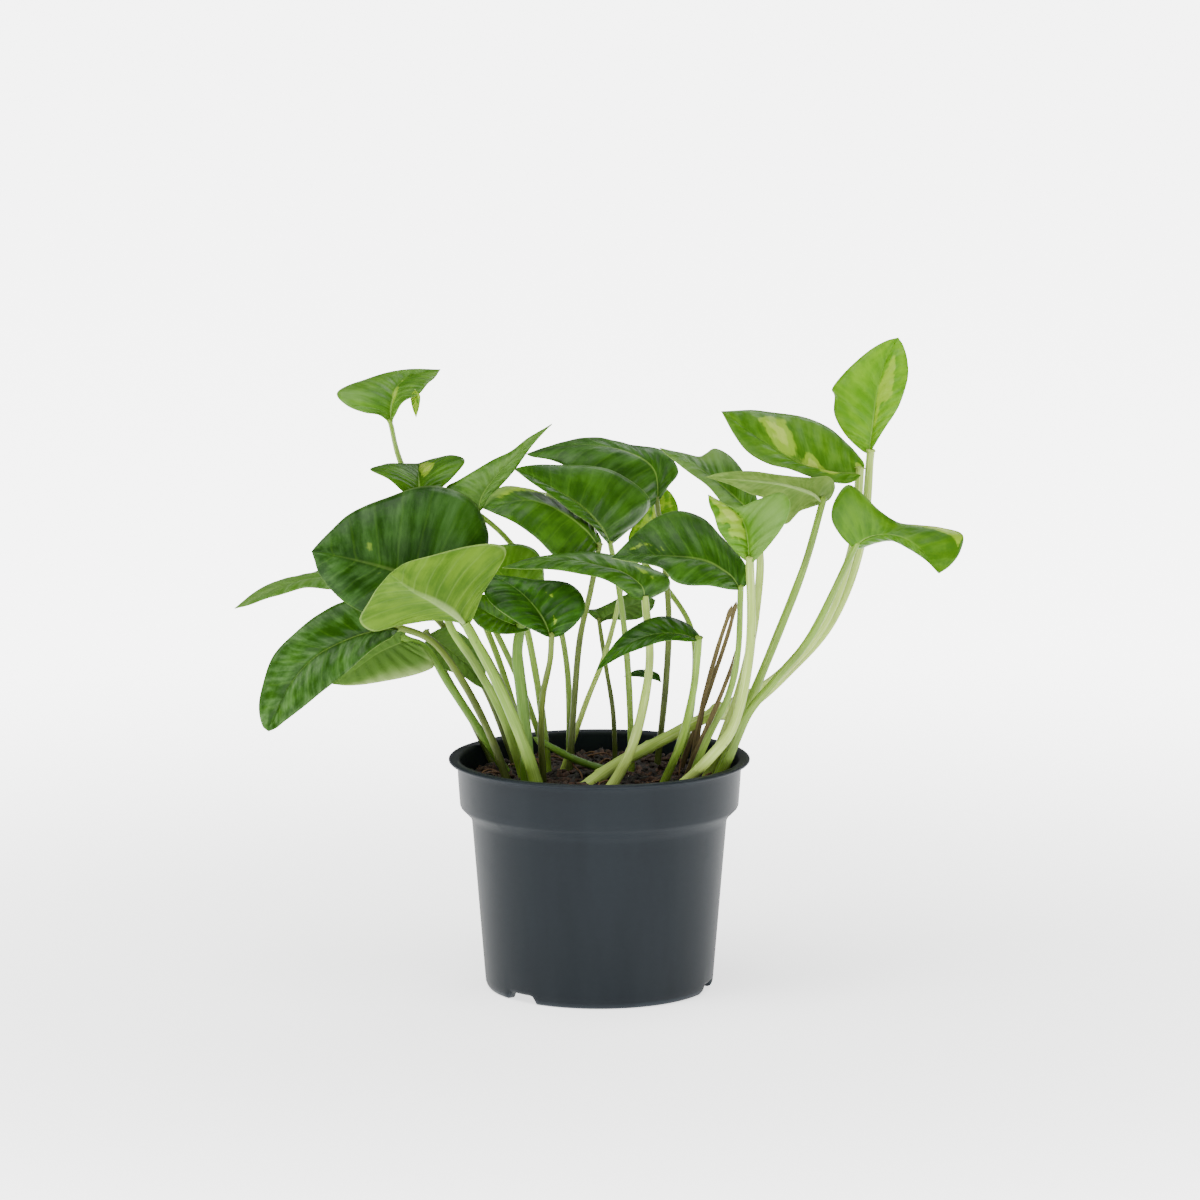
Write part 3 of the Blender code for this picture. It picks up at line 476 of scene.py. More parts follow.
def stem_mesh(name, points, start, end, wings=0.0, channel=0.12, nodes=(), seed=0, sides=20):
    """A stem carried along its path: point = path + radius * (cos a * side + sin a * front).

    The radius tapers from start to end, swells where the stem joins the soil and the blade,
    dips along the channel, stands out as two wings that fade by mid height, and swells at
    each node. UV is (round the stem, length in centimetres).
    """
    count = RINGS_PER_KNOT * len(points)
    share = np.linspace(0, 1, count)
    path = through(points, share)
    along = np.gradient(path, axis=0)
    along /= np.linalg.norm(along, axis=1)[:, None]
    side = np.cross(along, (0.25, -1.0, 0.12))
    side /= np.linalg.norm(side, axis=1)[:, None]
    front = np.cross(side, along)
    angle = np.linspace(0, 2 * math.pi, sides, endpoint=False)
    t, a = np.meshgrid(share, angle, indexing="ij")
    radius = start + (end - start) * t
    left = (1 - t) * np.linalg.norm(np.diff(path, axis=0), axis=1).sum()
    radius *= 1 + 0.3 * np.exp(-(((left - 3.2) / 2.6) ** 2)) + 0.12 * np.exp(-((t / 0.1) ** 2))
    radius *= 0.35 + 0.65 * np.clip(left / 3.0, 0, 1) ** 0.8
    radius *= 1 + 0.03 * np.sin(t * 23 + seed) + 0.02 * np.sin(t * 51 + 2 * seed)
    around = np.abs((a - math.pi / 2 + math.pi) % (2 * math.pi) - math.pi)
    radius *= 1 - channel * np.exp(-((around / 0.5) ** 2))
    fade = np.clip(1.15 - t / 0.5, 0, 1) ** 0.7 * (1 - np.exp(-((t / 0.08) ** 2)))
    radius *= 1 + wings * fade * np.exp(-(((around - 0.95) / 0.2) ** 2))
    for node in nodes:
        radius *= 1 + 0.17 * np.exp(-(((t - node) / 0.014) ** 2))
    rings = path[:, None] + radius[..., None] * (
        np.cos(a)[..., None] * side[:, None] + np.sin(a)[..., None] * front[:, None]
    )
    foot = np.repeat(path[:1, None], sides, 1)
    tip = np.repeat((path[-1:] + along[-1:] * end * 0.5)[:, None], sides, 1)
    mesh = solid_from_grid(name, np.concatenate([foot, rings, tip]))
    length = np.concatenate([[0], np.cumsum(np.linalg.norm(np.diff(path, axis=0), axis=1))]) / 10
    length = np.concatenate([length[:1], length, length[-1:]])
    share = np.concatenate([share[:1], share, share[-1:]])
    loops = np.zeros(len(mesh.loops), np.int32)
    mesh.loops.foreach_get("vertex_index", loops)
    column = loops % sides
    first = np.repeat(column.reshape(-1, 4).max(1), 4)
    wrapped = np.where((first == sides - 1) & (column == 0), sides, column)
    pair = np.stack([wrapped / sides, length[loops // sides]], -1).astype(np.float32)
    mesh.uv_layers.new(name="UVMap").data.foreach_set("uv", pair.ravel())
    height = mesh.attributes.new("stem_share", "FLOAT", "POINT")
    height.data.foreach_set("value", np.repeat(share, sides).astype(np.float32))
    tidy_mesh(mesh)
    return mesh


def stem_finish(name, low, high, streak, rough=0.42):
    """Juicy stem: low colour at the foot, high colour at the blade, fine streaks, painted shade down one
    side.
    """
    finish, shader, place = new_finish(name, roughness=rough, specular_ior_level=0.25)
    share = place.node("Attribute", {"attribute_name": "stem_share"}, {}, "Fac")
    around = place.node("UVMap", {"uv_map": "UVMap"}, {})
    lines = around.stretched(26, 0.5, 1).noise(1.0, 4.0)
    blush = place.noise(38.0, 4.0)
    colour = share.step(0.0, 0.85).between(low, high)
    colour = (lines.step(0.45, 0.72) * 0.55).between(colour, streak)
    colour = (blush.step(0.46, 0.72) * 0.6).between(colour, tuple(0.45 * value for value in low))
    # painted shade: the stem's right side, away from its channel, is darkened as if turned from the light
    turn = (around.axis("X") - 0.96 + (blush - 0.5) * 0.3) * (2 * math.pi)
    shaded_side = turn.math("COSINE", turn).step(0.2, 0.9)
    colour = (shaded_side * 0.5).between(colour, tuple(0.35 * value for value in low))
    scars = place.cells(95.0, "Distance")
    colour = ((1 - scars.step(0.03, 0.075)) * 0.7).between(colour, (0.045, 0.03, 0.012))
    feed(shader, colour, "Base Color")
    feed(shader, rough - 0.08 + 0.2 * lines, "Roughness")
    feed(shader, lines.bump(0.5, 0.00035), "Normal")
    return finish


fresh_stem = stem_finish("fresh_petiole", (0.17, 0.28, 0.035), (0.14, 0.26, 0.02), (0.34, 0.46, 0.11))
pale_stem = stem_finish("pale_petiole", (0.37, 0.49, 0.10), (0.26, 0.39, 0.05), (0.56, 0.66, 0.24))
olive_stem = stem_finish("olive_petiole", (0.06, 0.075, 0.015), (0.11, 0.17, 0.02), (0.17, 0.21, 0.05))
green_stem = stem_finish("green_petiole", (0.07, 0.16, 0.01), (0.11, 0.23, 0.02), (0.21, 0.33, 0.06))
dry_stem = stem_finish("dry_sheath", (0.06, 0.04, 0.016), (0.13, 0.10, 0.04), (0.24, 0.19, 0.08), rough=0.85)
ROOTING = 6.0
MERGE = 3.2


def add_stem(name, finish, start, end, *knots, **shape):
    """One stem in the scene, from its radius at the start to its radius at the end.

    A foot in the soil is carried on down by ROOTING, and a petiole into its blade by MERGE.
    """
    path = np.array(knots, float)
    if path[0, 2] < SOIL_LEVEL:
        path = np.vstack([beyond(path[1], path[0], ROOTING), path])
    if name.startswith("petiole"):
        path = np.vstack([path, beyond(path[-2], path[-1], MERGE)])
    slot = "dry_sheath" if finish is dry_stem else "stem_green"
    mesh = stem_mesh(name, path, start, end, seed=len(bpy.data.meshes), **shape)
    mesh.materials.append(finish)
    nodes = [name] if name in frame["nodes"] else []
    show(f"{name}_grown", mesh, slot, *nodes)


add_stem("petiole_far_left", olive_stem, 1.7, 1.1,
    (-36, 26, 91), (-50, 33, 125), (-68, 34, 152), (-85, 29, 167), (-97.5, 24, 173.6))
add_stem("petiole_top_left", fresh_stem, 1.6, 1.0,
    (-30, 38, 91), (-46, 47, 140), (-67, 48, 186), (-85, 45, 219), (-89.8, 27, 240.8))
add_stem("petiole_upper_left_small", fresh_stem, 1.5, 1.0,
    (-22, 34, 91), (-36, 34, 130), (-56, 26, 172), (-72, 17, 200), (-76.8, 13.2, 208.6))
add_stem("petiole_big_dark", olive_stem, 1.8, 1.3,
    (-28, 20, 91), (-38, 14, 120), (-50, 4, 146), (-63.5, -5.7, 166.4))
add_stem("petiole_front_pale", fresh_stem, 2.9, 1.9,
    (-26, -30, 91), (-31, -31, 108), (-39, -32, 129), (-47, -32, 146), (-55.5, -32, 162), wings=0.3)
add_stem("petiole_low_left", olive_stem, 1.9, 1.3,
    (-39, -12, 91), (-47, -9, 112), (-58, -4, 133), (-71, 2, 150), (-85.5, 2.4, 156.6))
add_stem("petiole_low_pale", green_stem, 2.1, 1.5,
    (-40, 12, 91), (-50, 12, 107), (-66, 12, 132), (-74, 13, 145), (-82.5, 14, 149.2))
add_stem("petiole_behind_stems", olive_stem, 1.7, 1.2,
    (-46, 30, 91), (-56, 30, 112), (-68, 28, 134), (-74, 24.2, 149))
add_stem("petiole_mid_left", fresh_stem, 1.9, 1.2,
    (-22, 8, 91), (-25, 6, 120), (-29, 0, 146), (-32.8, -7.6, 166))
add_stem("petiole_low_dark", green_stem, 3.2, 2.0,
    (-31, -20, 91), (-31, -20, 106), (-33, -19, 130), (-35, -18, 148), (-33.8, -17, 159), wings=0.15)
add_stem("petiole_small_round", olive_stem, 1.5, 1.2,
    (-24, -8, 91), (-25, -15, 114), (-24, -24, 132), (-21, -32, 148), (-20.3, -36, 158.2))
add_stem("petiole_spear", fresh_stem, 1.5, 1.0,
    (-13, 24, 91), (-14, 26, 135), (-22, 24, 168), (-40, 17, 193), (-51.8, 12, 204.4))
add_stem("petiole_half_gold", olive_stem, 1.6, 1.1,
    (-13, 10, 91), (-11, 10, 120), (-8.5, 6, 150), (-4, -1, 172), (-0.2, -7, 192))
add_stem("petiole_centre_veined", fresh_stem, 1.6, 1.1,
    (14, 14, 91), (13, 14, 125), (11, 13, 152), (8, 9, 175), (5.1, 6, 190.6))
add_stem("petiole_top_centre", olive_stem, 1.6, 1.1,
    (25, 22, 91), (29, 24, 130), (30, 28, 160), (27, 34, 190), (25, 36, 205.2))
add_stem("petiole_gold_behind", fresh_stem, 1.4, 1.0,
    (36, 26, 91), (41, 28, 125), (40, 36, 150), (28, 47, 168), (21.2, 50, 175))
add_stem("petiole_centre_right", fresh_stem, 1.7, 1.2,
    (38, -18, 91), (46, -21, 112), (55, -26, 132), (59, -31, 152), (59.9, -34, 178))
add_stem("petiole_centre_long", pale_stem, 2.6, 1.4,
    (4, -28, 91), (12, -27, 105), (18, -26, 124), (21.5, -25, 148), (19.6, -24, 172))
add_stem("petiole_small_low", fresh_stem, 2.0, 1.4,
    (27, -18, 91), (35, -24, 112), (40, -34, 136), (42, -43.8, 158))
add_stem("petiole_small_behind", olive_stem, 1.2, 0.9,
    (7, 26, 91), (6, 26, 115), (3, 28, 134), (0.1, 30, 153))
add_stem("petiole_pale_folded", pale_stem, 2.6, 1.7,
    (31, -34, 91), (47, -36, 107), (58, -38, 124), (64, -42, 157), (63.6, -46, 192))
add_stem("petiole_right_marbled", pale_stem, 2.2, 1.4,
    (46, 0, 91), (59, 1, 125), (66, 2, 155), (69, 0, 185), (66.2, -3.9, 206), wings=0.6)
add_stem("petiole_right_twisted", fresh_stem, 2.4, 1.3,
    (50, -6, 91), (64, -6, 124), (77, -5, 156), (88, -4, 185), (95.3, -2.1, 211))
add_stem("petiole_upper_right", pale_stem, 2.4, 1.7,
    (51, 11, 118.5), (58, 12.6, 122), (77, 19, 132), (97, 17, 156), (109, 14, 190), (111.8, 12, 221.5),
    nodes=(0.08, 0.97))
add_stem("petiole_top_right", pale_stem, 2.4, 1.7,
    (45, 10, 115.5), (50, 16.9, 115.6), (62, 22, 116.5), (80, 27, 131), (101, 25, 156), (113, 21, 190),
    (116.5, 18, 228), nodes=(0.07, 0.95))
add_stem("petiole_far_right", fresh_stem, 2.2, 1.4,
    (50, -14, 91), (57, -15, 107), (64, -16, 123), (76, -16, 138), (91, -15, 157), (108.3, -14, 193),
    wings=0.3)
add_stem("stem_sheathed", fresh_stem, 2.2, 1.6,
    (-32, -10, 91), (-41, -13, 120), (-53, -17, 144), (-62, -20, 158), (-66, -21, 168), wings=0.6)
add_stem("stem_yellow", pale_stem, 1.4, 1.0,
    (-16, 16, 91), (-6, 18, 120), (2, 22, 140), (8, 23, 162), (10, 22, 176))
add_stem("vine_left", green_stem, 1.7, 1.4,
    (4, -4, 95), (-10, -2, 99.5), (-20, -1, 104.5), (-28, -1, 109), nodes=(0.5,), channel=0.0)
add_stem("vine_right", pale_stem, 2.9, 2.5,
    (-4, -16, 92), (6, -9, 98), (20, 0, 104), (36, 8, 111), (56, 12, 121), nodes=(0.3, 0.62, 0.95),
    channel=0.0)
add_stem("dry_sheath", dry_stem, 1.3, 0.8,
    (35, 20, 91), (46, 18, 122), (55, 14, 150), (59, 12, 166), wings=0.5)
add_stem("dry_strand_back", dry_stem, 1.5, 0.8,
    (39, 5, 91), (45, 5, 124), (51, 6, 147), (57, 8, 165), wings=0.5)
add_stem("dry_strand_front", dry_stem, 1.5, 0.8,
    (37, -3, 91), (42, -3, 104), (52, -1, 127), (61, 1, 151), wings=0.5)


# ------------------------------------------------------------------------------------------
# Aerial roots. Thin brown roots that grew from the stems' nodes, looping over the soil and
# dipping back into it, and two short ones that hang from the vine.
ROOT_COUNT = 16
ROOT_LIMIT = 53
root_skin = stem_finish(
    "root_skin", (0.09, 0.045, 0.022), (0.16, 0.085, 0.045), (0.26, 0.16, 0.09), rough=0.8
)


def add_root(index, points, radius):
    """One root, the same sweep as a stem with a round section."""
    mesh = stem_mesh(f"aerial_root_{index}", points, radius, radius * 0.6, channel=0.0, seed=index, sides=8)
    mesh.materials.append(root_skin)
    show(f"aerial_root_{index}", mesh, "potting_soil")


dice = np.random.default_rng(31)
for index in range(ROOT_COUNT):
    turn, far = dice.uniform(0, 2 * math.pi), dice.uniform(18, 44)
    start = np.array((far * math.cos(turn), far * math.sin(turn)))
    turn += dice.uniform(-1.4, 1.4)
    end = start + dice.uniform(9, 22) * np.array((math.cos(turn), math.sin(turn)))
    end *= min(1, ROOT_LIMIT / np.linalg.norm(end))
    knots = start + (end - start) * np.linspace(0, 1, 5)[:, None] + dice.normal(0, 1.3, (5, 2))
    rise = np.array((-1.5, 0.8, dice.uniform(1.0, 3.5), 0.8, -1.5))
    height = soil_height(knots[:, 0], knots[:, 1]) + rise
    add_root(index, np.column_stack([knots, height]), dice.uniform(0.3, 0.6))
add_root(16, ((-12, -1, 100), (-11, -2, 97), (-8, -4, 94), (-7, -6, 90)), 0.5)
add_root(17, ((36, 8, 109), (34, 6, 103), (35, 4, 97), (34, 3, 90)), 0.55)


# ------------------------------------------------------------------------------------------
# Leaf blades. Each is a thin waxy sheet grown on a midrib, with side veins that bend to the
# tip, quilted a little between them. Its upper face is marbled and streaked with painted sheen;
# its underside is matt.
VEIN_LEAN = 1.7
VEIN_PAIRS = 10
DEPTH_FALL = 0.171
BLADE_HALF_THICKNESS = 0.26
RIDGE_DEPTH = 0.75
PLAIN_BLADE = {
    "wave": 0.7, "belly": 0.08, "tone": 0.5, "gold": 0.0, "patches": (), "dull": (), "sheen": 0.0,
    "underlit": 0.4, "ridge": 1.0,
}


def lay(knots, share):
    """A smooth curve through (x, y, height) knots, read at shares of the knots' length.

    Each height is the one it would have in the pot's middle plane: a knot that lies y behind
    that plane comes DEPTH_FALL * y lower.
    """
    knots = np.array(knots, float)
    knots[:, 2] -= DEPTH_FALL * knots[:, 1]
    steps = np.linalg.norm(np.diff(knots, axis=0), axis=1)
    places = np.concatenate([[0], np.cumsum(steps)]) / steps.sum()
    return through(knots, np.interp(share, places, np.linspace(0, 1, len(knots))))


def sheet_normals(sheet):
    """A grid's unit normals. Its end rows are single points, which take their neighbours' mean."""
    normal = np.cross(np.gradient(sheet, axis=1), np.gradient(sheet, axis=0))
    normal[0], normal[-1] = normal[1].mean(0), normal[-2].mean(0)
    return normal / np.linalg.norm(normal, axis=-1)[..., None]


def blade_surface(leaf, s, w):
    """A blade's middle sheet: midrib(a) + |w| * (margin(s) - midrib(a)) + up * relief.

    s runs base to tip along the margin, w from -1 (left margin) over 0 (midrib) to +1. A vein
    leaves the midrib at a = s to the power VEIN_LEAN and a moves on towards s as |w| grows.
    relief is the belly of each half, waves that grow to the margin, quilting between veins
    and a narrow fold at the midrib; up is the sheet's own normal.
    """
    rib, share = leaf["rib"], np.abs(w)[..., None]
    root = s**VEIN_LEAN
    bone = lay(rib, root + 0.4 * (s - root) * np.abs(w))
    left = lay((rib[0], *leaf["left"], rib[-1]), s)
    right = lay((rib[0], *leaf["right"], rib[-1]), s)
    margin = np.where((w > 0)[..., None], right, left)
    sheet = bone + (margin - bone) * share
    width = np.linalg.norm(margin - bone, axis=-1)
    bow = 4 * np.abs(w) * (1 - np.abs(w))
    turn = 2 * math.pi * (2.3 * s + 0.13 * leaf["seed"]) + (w > 0) * 1.7
    relief = leaf["belly"] * width * bow
    relief += leaf["wave"] * np.sin(turn) * (w**2) * np.minimum(width / 16, 1)
    relief += 0.09 * np.sin(2 * math.pi * VEIN_PAIRS * s) * bow * np.minimum(width / 12, 1.3)
    relief -= 0.5 * np.exp(-((np.abs(w) * width / 1.4) ** 2)) * (1 - s)
    relief *= np.sin(math.pi * np.clip(s, 0, 1)) ** 0.3
    return sheet + sheet_normals(sheet) * relief[..., None]


def blade_mesh(name, leaf, rows=72, half=15):
    """A closed blade: the middle sheet moved by half its thickness along its normal, both ways.

    The underside also bulges along the midrib, which stands out there as a ridge. UV is
    (s, w). The attributes gold and dull hold soft blobs of colour laid out in (s, w).
    """
    w = np.concatenate([-np.linspace(1, 0, half) ** 1.35, np.linspace(0, 1, half)[1:] ** 1.35])
    s, w = np.meshgrid(np.linspace(0, 1, rows), w, indexing="ij")
    sheet = blade_surface(leaf, s, w)
    normal = sheet_normals(sheet)
    thick = BLADE_HALF_THICKNESS * (1 - 0.55 * np.abs(w) ** 6)
    ridge = RIDGE_DEPTH * np.exp(-((np.abs(w) / 0.05) ** 2)) * (1 - s) * leaf["ridge"]
    upper = sheet + normal * thick[..., None]
    under = sheet - normal * (thick + ridge)[..., None]
    columns = w.shape[1]
    points = np.concatenate([upper.reshape(-1, 3), under.reshape(-1, 3)]) * MILLIMETRE
    half_count = rows * columns
    top = grid_faces(rows, columns, False)[:, (0, 3, 2, 1)]
    bottom = top[:, ::-1] + half_count
    r = np.arange(rows - 1) * columns
    left_rim = np.stack([r, r + half_count, r + columns + half_count, r + columns], -1)
    q = r + columns - 1
    right_rim = np.stack([q, q + columns, q + columns + half_count, q + half_count], -1)
    quads = np.concatenate([top, bottom, left_rim, right_rim])
    mesh = bpy.data.meshes.new(name)
    mesh.from_pydata(points, [], quads)
    loops = quads.ravel() % half_count
    pair = np.stack([s.ravel(), w.ravel()], -1)[loops]
    mesh.uv_layers.new(name="UVMap").data.foreach_set("uv", pair.astype(np.float32).ravel())
    even = ("tone", "underlit", "seed", "sheen", "gold")
    values = {label: np.full(s.shape, float(leaf[label])) for label in even}
    values["seed"] *= 3.7
    values["dull"] = np.zeros(s.shape)
    for label, blobs in (("gold", leaf["patches"]), ("dull", leaf["dull"])):
        for at_s, at_w, long, wide, strength in blobs:
            values[label] += strength * np.exp(-(((s - at_s) / long) ** 2) - ((w - at_w) / wide) ** 2)
    for label, value in values.items():
        both = np.tile(value.ravel(), 2).astype(np.float32)
        mesh.attributes.new(label, "FLOAT", "POINT").data.foreach_set("value", both)
    mesh.materials.append(waxy_upper)
    mesh.materials.append(matt_under)
    index = np.concatenate([np.zeros(len(top)), np.ones(len(quads) - len(top))]).astype(np.int32)
    mesh.polygons.foreach_set("material_index", index)
    tidy_mesh(mesh, 2e-6)
    return mesh


def blade_wires(place):
    """What both faces of a blade share: place along and across it, its attributes and its grain.

    The grain is streaks along the veins, broad islands, fine speckle and bands between veins.
    """
    uv = place.node("UVMap", {"uv_map": "UVMap"}, {})
    values = {
        label: place.node("Attribute", {"attribute_name": label}, {}, "Fac")
        for label in ("tone", "gold", "dull", "sheen", "underlit", "seed")
    }
    s, w = uv.axis("X"), uv.axis("Y")
    leaning = place.node("CombineXYZ", {}, {"X": s * 30.0, "Y": w * 1.6, "Z": values["seed"]})
    broad = place.node("CombineXYZ", {}, {"X": s * 6.5, "Y": w * 2.2, "Z": values["seed"]})
    streaks, islands = leaning.noise(1.0, 5.0, 0.6), broad.noise(1.0, 3.0)
    bands = s.math("SINE", s * (VEIN_PAIRS * 2 * math.pi) + islands * 2.4)
    grain = (streaks, islands, place.noise(420.0, 5.0, 0.7), bands)
    return s, w.math("ABSOLUTE", w), values, grain


waxy_upper, shader, place = new_finish("waxy_leaf_upper", roughness=0.3, specular_ior_level=0.12)
s, share, values, (streaks, islands, speckle, bands) = blade_wires(place)
tone, gold, dull = values["tone"], values["gold"], values["dull"]
deep = tone.between((0.004, 0.026, 0.0008), (0.075, 0.22, 0.002))
fresh = tone.between((0.016, 0.075, 0.0015), (0.16, 0.34, 0.006))
colour = ((streaks * 0.35 + islands * 0.65).step(0.38, 0.66) * 0.85).between(deep, fresh)
colour = (speckle.step(0.45, 0.8) * 0.22).between(colour, fresh)
edge = (streaks - 0.5) * 0.35 + (islands - 0.5) * 0.9 + (speckle - 0.5) * 0.12
marbling = (gold + edge).step(0.40, 0.50)
colour = (marbling * 0.85).between(colour, (0.20, 0.33, 0.012))
colour = ((gold + edge).step(0.62, 0.75) * 0.7).between(colour, (0.36, 0.46, 0.06))
# dull blobs pale the green towards grey-olive and make it rougher
dulled = (dull + edge * 0.3).step(0.15, 0.85)
colour = (dulled * 0.75).between(colour, (0.10, 0.19, 0.035))
colour = ((dull + edge * 0.4).step(0.85, 1.35) * 0.85).between(colour, (0.27, 0.38, 0.12))
veins = bands.step(0.90, 1.0) * (1 - share * 0.6)
colour = (veins * 0.12).between(colour, (0.12, 0.27, 0.02))
# painted highlight: silvery sheen streaks painted into the upper face's colour, as strong as each leaf's
# sheen
painted_sheen = (streaks * 0.7 + islands * 0.3).step(0.40, 0.72) * values["sheen"] * share.step(0.0, 0.12)
colour = painted_sheen.between(colour, (0.15, 0.26, 0.11))
rib = 1 - share.step(0.012, 0.045)
colour = (rib * (1 - s) * 0.65).between(colour, (0.24, 0.38, 0.08))
# painted highlight: a thin pale line along the blade's margin
colour = (share.step(0.97, 0.99) * 0.12).between(colour, (0.30, 0.42, 0.14))
feed(shader, colour, "Base Color")
feed(shader, 0.22 + 0.14 * streaks + 0.12 * speckle + 0.2 * dulled, "Roughness")
quilt = bands * (1 - share * 0.6) * share.step(0.0, 0.25)
height = quilt * 0.42 + streaks * 0.25 + speckle * 0.14 + islands * 0.6
feed(shader, height.bump(0.7, 0.0008), "Normal")

matt_under, shader, place = new_finish("matt_leaf_underside", roughness=0.55, specular_ior_level=0.1)
s, share, values, (streaks, islands, speckle, bands) = blade_wires(place)
gold, lit = values["gold"], values["underlit"]
dark = lit.between((0.030, 0.085, 0.001), (0.16, 0.27, 0.05))
light = lit.between((0.080, 0.165, 0.003), (0.29, 0.40, 0.12))
colour = (streaks * 0.45 + islands * 0.55).step(0.34, 0.68).between(dark, light)
colour = (speckle.step(0.45, 0.8) * 0.3).between(colour, light)
colour = ((gold + (islands - 0.5) * 1.2).step(0.4, 0.6) * 0.5).between(colour, (0.24, 0.34, 0.05))
veins = bands.step(0.88, 1.0) * (1 - share * 0.5)
colour = (veins * 0.10).between(colour, (0.26, 0.37, 0.12))
rib = 1 - share.step(0.02, 0.07)
colour = (rib * (1 - s) * 0.75).between(colour, (0.36, 0.48, 0.18))
# painted highlight: a thin pale line along the underside's margin
colour = (share.step(0.96, 0.99) * 0.3).between(colour, (0.30, 0.42, 0.12))
feed(shader, colour, "Base Color")
feed(shader, 0.42 + 0.2 * speckle, "Roughness")
height = bands * 0.3 + streaks * 0.35 + speckle * 0.25
feed(shader, height.bump(0.6, 0.0007), "Normal")
leaf_slots = {part["node"]: part["material_slot"] for part in frame["record"]["subparts"]}


def add_leaf(name, **own):
    """One blade in the scene; what isn't said of it is as in PLAIN_BLADE.

    rib lists the midrib's knots from base to tip; left and right list each margin's knots
    between them, seen from above with the tip ahead. tone runs from deep to bright green.
    patches (yellow marbling) and dull (a paling towards grey-olive) are soft blobs: place along, place
    across, length, width and strength. sheen paints highlight into the colour: silvery streaks between
    veins.
    """
    leaf = {**PLAIN_BLADE, **own, "seed": len(name) + 0.37 * len(bpy.data.meshes)}
    nodes = [name] if name in leaf_slots else []
    show(f"{name}_blade", blade_mesh(name, leaf), leaf_slots.get(name, "leaf_green"), *nodes)


# Left side of the plant: the big glossy leaf, those behind and below it, and the leaf on top.
add_leaf(
    "leaf_far_left", tone=0.35, gold=0.05, dull=((0.5, 0.0, 0.8, 1.5, 0.35), (1.0, 0.0, 0.3, 1.5, 0.5)),
    sheen=0.4,
    rib=((-98, 24, 178), (-112, 23, 179), (-128, 22, 177.5), (-143, 20, 172.5), (-157.5, 18, 165.3)),
    left=((-106, 10, 175), (-116, 7, 173), (-128, 7, 174.5), (-140, 10, 170.5), (-150, 14, 167)),
    right=((-106, 36, 184), (-118, 38, 183), (-130, 36, 180), (-142.5, 31, 175.8), (-150, 25, 172)),
)
add_leaf(
    "leaf_top_left", tone=0.45, sheen=0.3, gold=0.1, patches=((0.55, 0.05, 0.3, 0.12, 0.5),),
    dull=((0.3, -1.0, 0.4, 0.3, 0.5),),
    rib=((-90, 26, 246), (-89.5, 32, 255), (-87, 42, 263.5), (-80, 49, 268), (-69, 52, 270.5)),
    left=((-95, 26, 250), (-101, 28, 251.3), (-109, 31, 254), (-113.5, 35, 259), (-108, 40, 263.5),
        (-100, 46, 267), (-90, 50, 269.5), (-80, 52, 270.8)),
    right=((-87.5, 23, 250.5), (-84, 25, 255.5), (-77, 32, 260.5), (-72, 44, 266)),
)
add_leaf(
    "top_left_furled_tip", tone=0.7, gold=0.5, wave=0.0, ridge=0.3,
    rib=((-79.5, 31, 261), (-79.3, 29, 255), (-79, 28, 248.8)),
    left=((-77.3, 30, 258.5), (-77.6, 29, 254)),
    right=((-81.4, 30, 258), (-80.6, 29, 253)),
)
add_leaf(
    "leaf_upper_left_small", tone=0.25, patches=((0.75, 0.3, 0.25, 0.3, 0.85),),
    dull=((0.6, -1.0, 0.5, 0.4, 0.2),), wave=0.3,
    rib=((-77, 13, 212), (-77.5, 18, 218), (-78, 28, 224), (-78.5, 40, 229)),
    left=((-84, 12, 216), (-90, 12, 221), (-98.5, 16, 226), (-93, 26, 228.3), (-86, 35, 229)),
    right=((-67, 14, 218.5), (-61, 16, 225), (-58, 21, 230.3), (-64, 28, 232.3), (-72, 36, 231.2)),
)
add_leaf(
    "leaf_big_dark", tone=0.05, belly=0.1,
    patches=((0.76, 0.3, 0.14, 0.3, 0.34), (0.62, -0.15, 0.3, 0.15, 0.3)), sheen=0.22,
    rib=((-64, -6, 166), (-75, -10, 174), (-86.5, -14, 181), (-105.5, -20, 186.5), (-122.3, -26, 190)),
    left=((-70, -10, 161.5), (-82, -14, 160), (-95, -18, 161.5), (-105.5, -21, 166), (-113, -23, 172),
        (-119, -25, 180), (-121, -26, 186)),
    right=((-56, -2, 174), (-48, 4, 192), (-49, 8, 203), (-55, 10, 213), (-67, 10, 218.3), (-78, 7, 218),
        (-90, 2, 213.7), (-100, -3, 210), (-108, -9, 205.5), (-115, -16, 198.5), (-120, -22, 193)),
)
add_leaf(
    "leaf_front_pale", tone=0.12, wave=0.4, belly=0.06, underlit=0.05,
    rib=((-56, -32, 157.5), (-62, -36, 163), (-70, -42, 168.6), (-78.5, -49, 173), (-88, -58, 180.3)),
    left=((-53.6, -33, 161), (-49.6, -34, 170.8), (-43, -36, 182), (-39.5, -39, 190), (-44, -43, 193),
        (-55, -48, 191.8), (-69, -53, 188.6), (-81, -57, 185)),
    right=((-61, -32, 159.5), (-67.5, -33, 160), (-75, -34, 160), (-85, -36, 158), (-95.5, -38, 155.3),
        (-101.5, -42, 160.3), (-97.3, -48, 168.5), (-93, -54, 174.5)),
)
add_leaf(
    "leaf_low_left", tone=0.1, wave=1.1, belly=0.12, sheen=0.38,
    rib=((-86, 2, 156.3), (-98, -1, 155), (-111, -6, 150.5), (-122.7, -11, 143.5), (-133, -17, 131),
        (-141.3, -23, 112)),
    left=((-89, -6, 153), (-95, -10, 148.5), (-109, -15, 137.4), (-122.7, -19, 125.4), (-134, -22, 116.8),
        (-138, -23, 113.5)),
    right=((-84, 8, 162), (-95, 9, 169), (-109, 4, 168.8), (-120, -2, 163.2), (-130, -8, 155),
        (-139.5, -14, 144.8), (-144.2, -18, 131), (-145.5, -21, 122), (-144, -22.5, 114.5)),
)
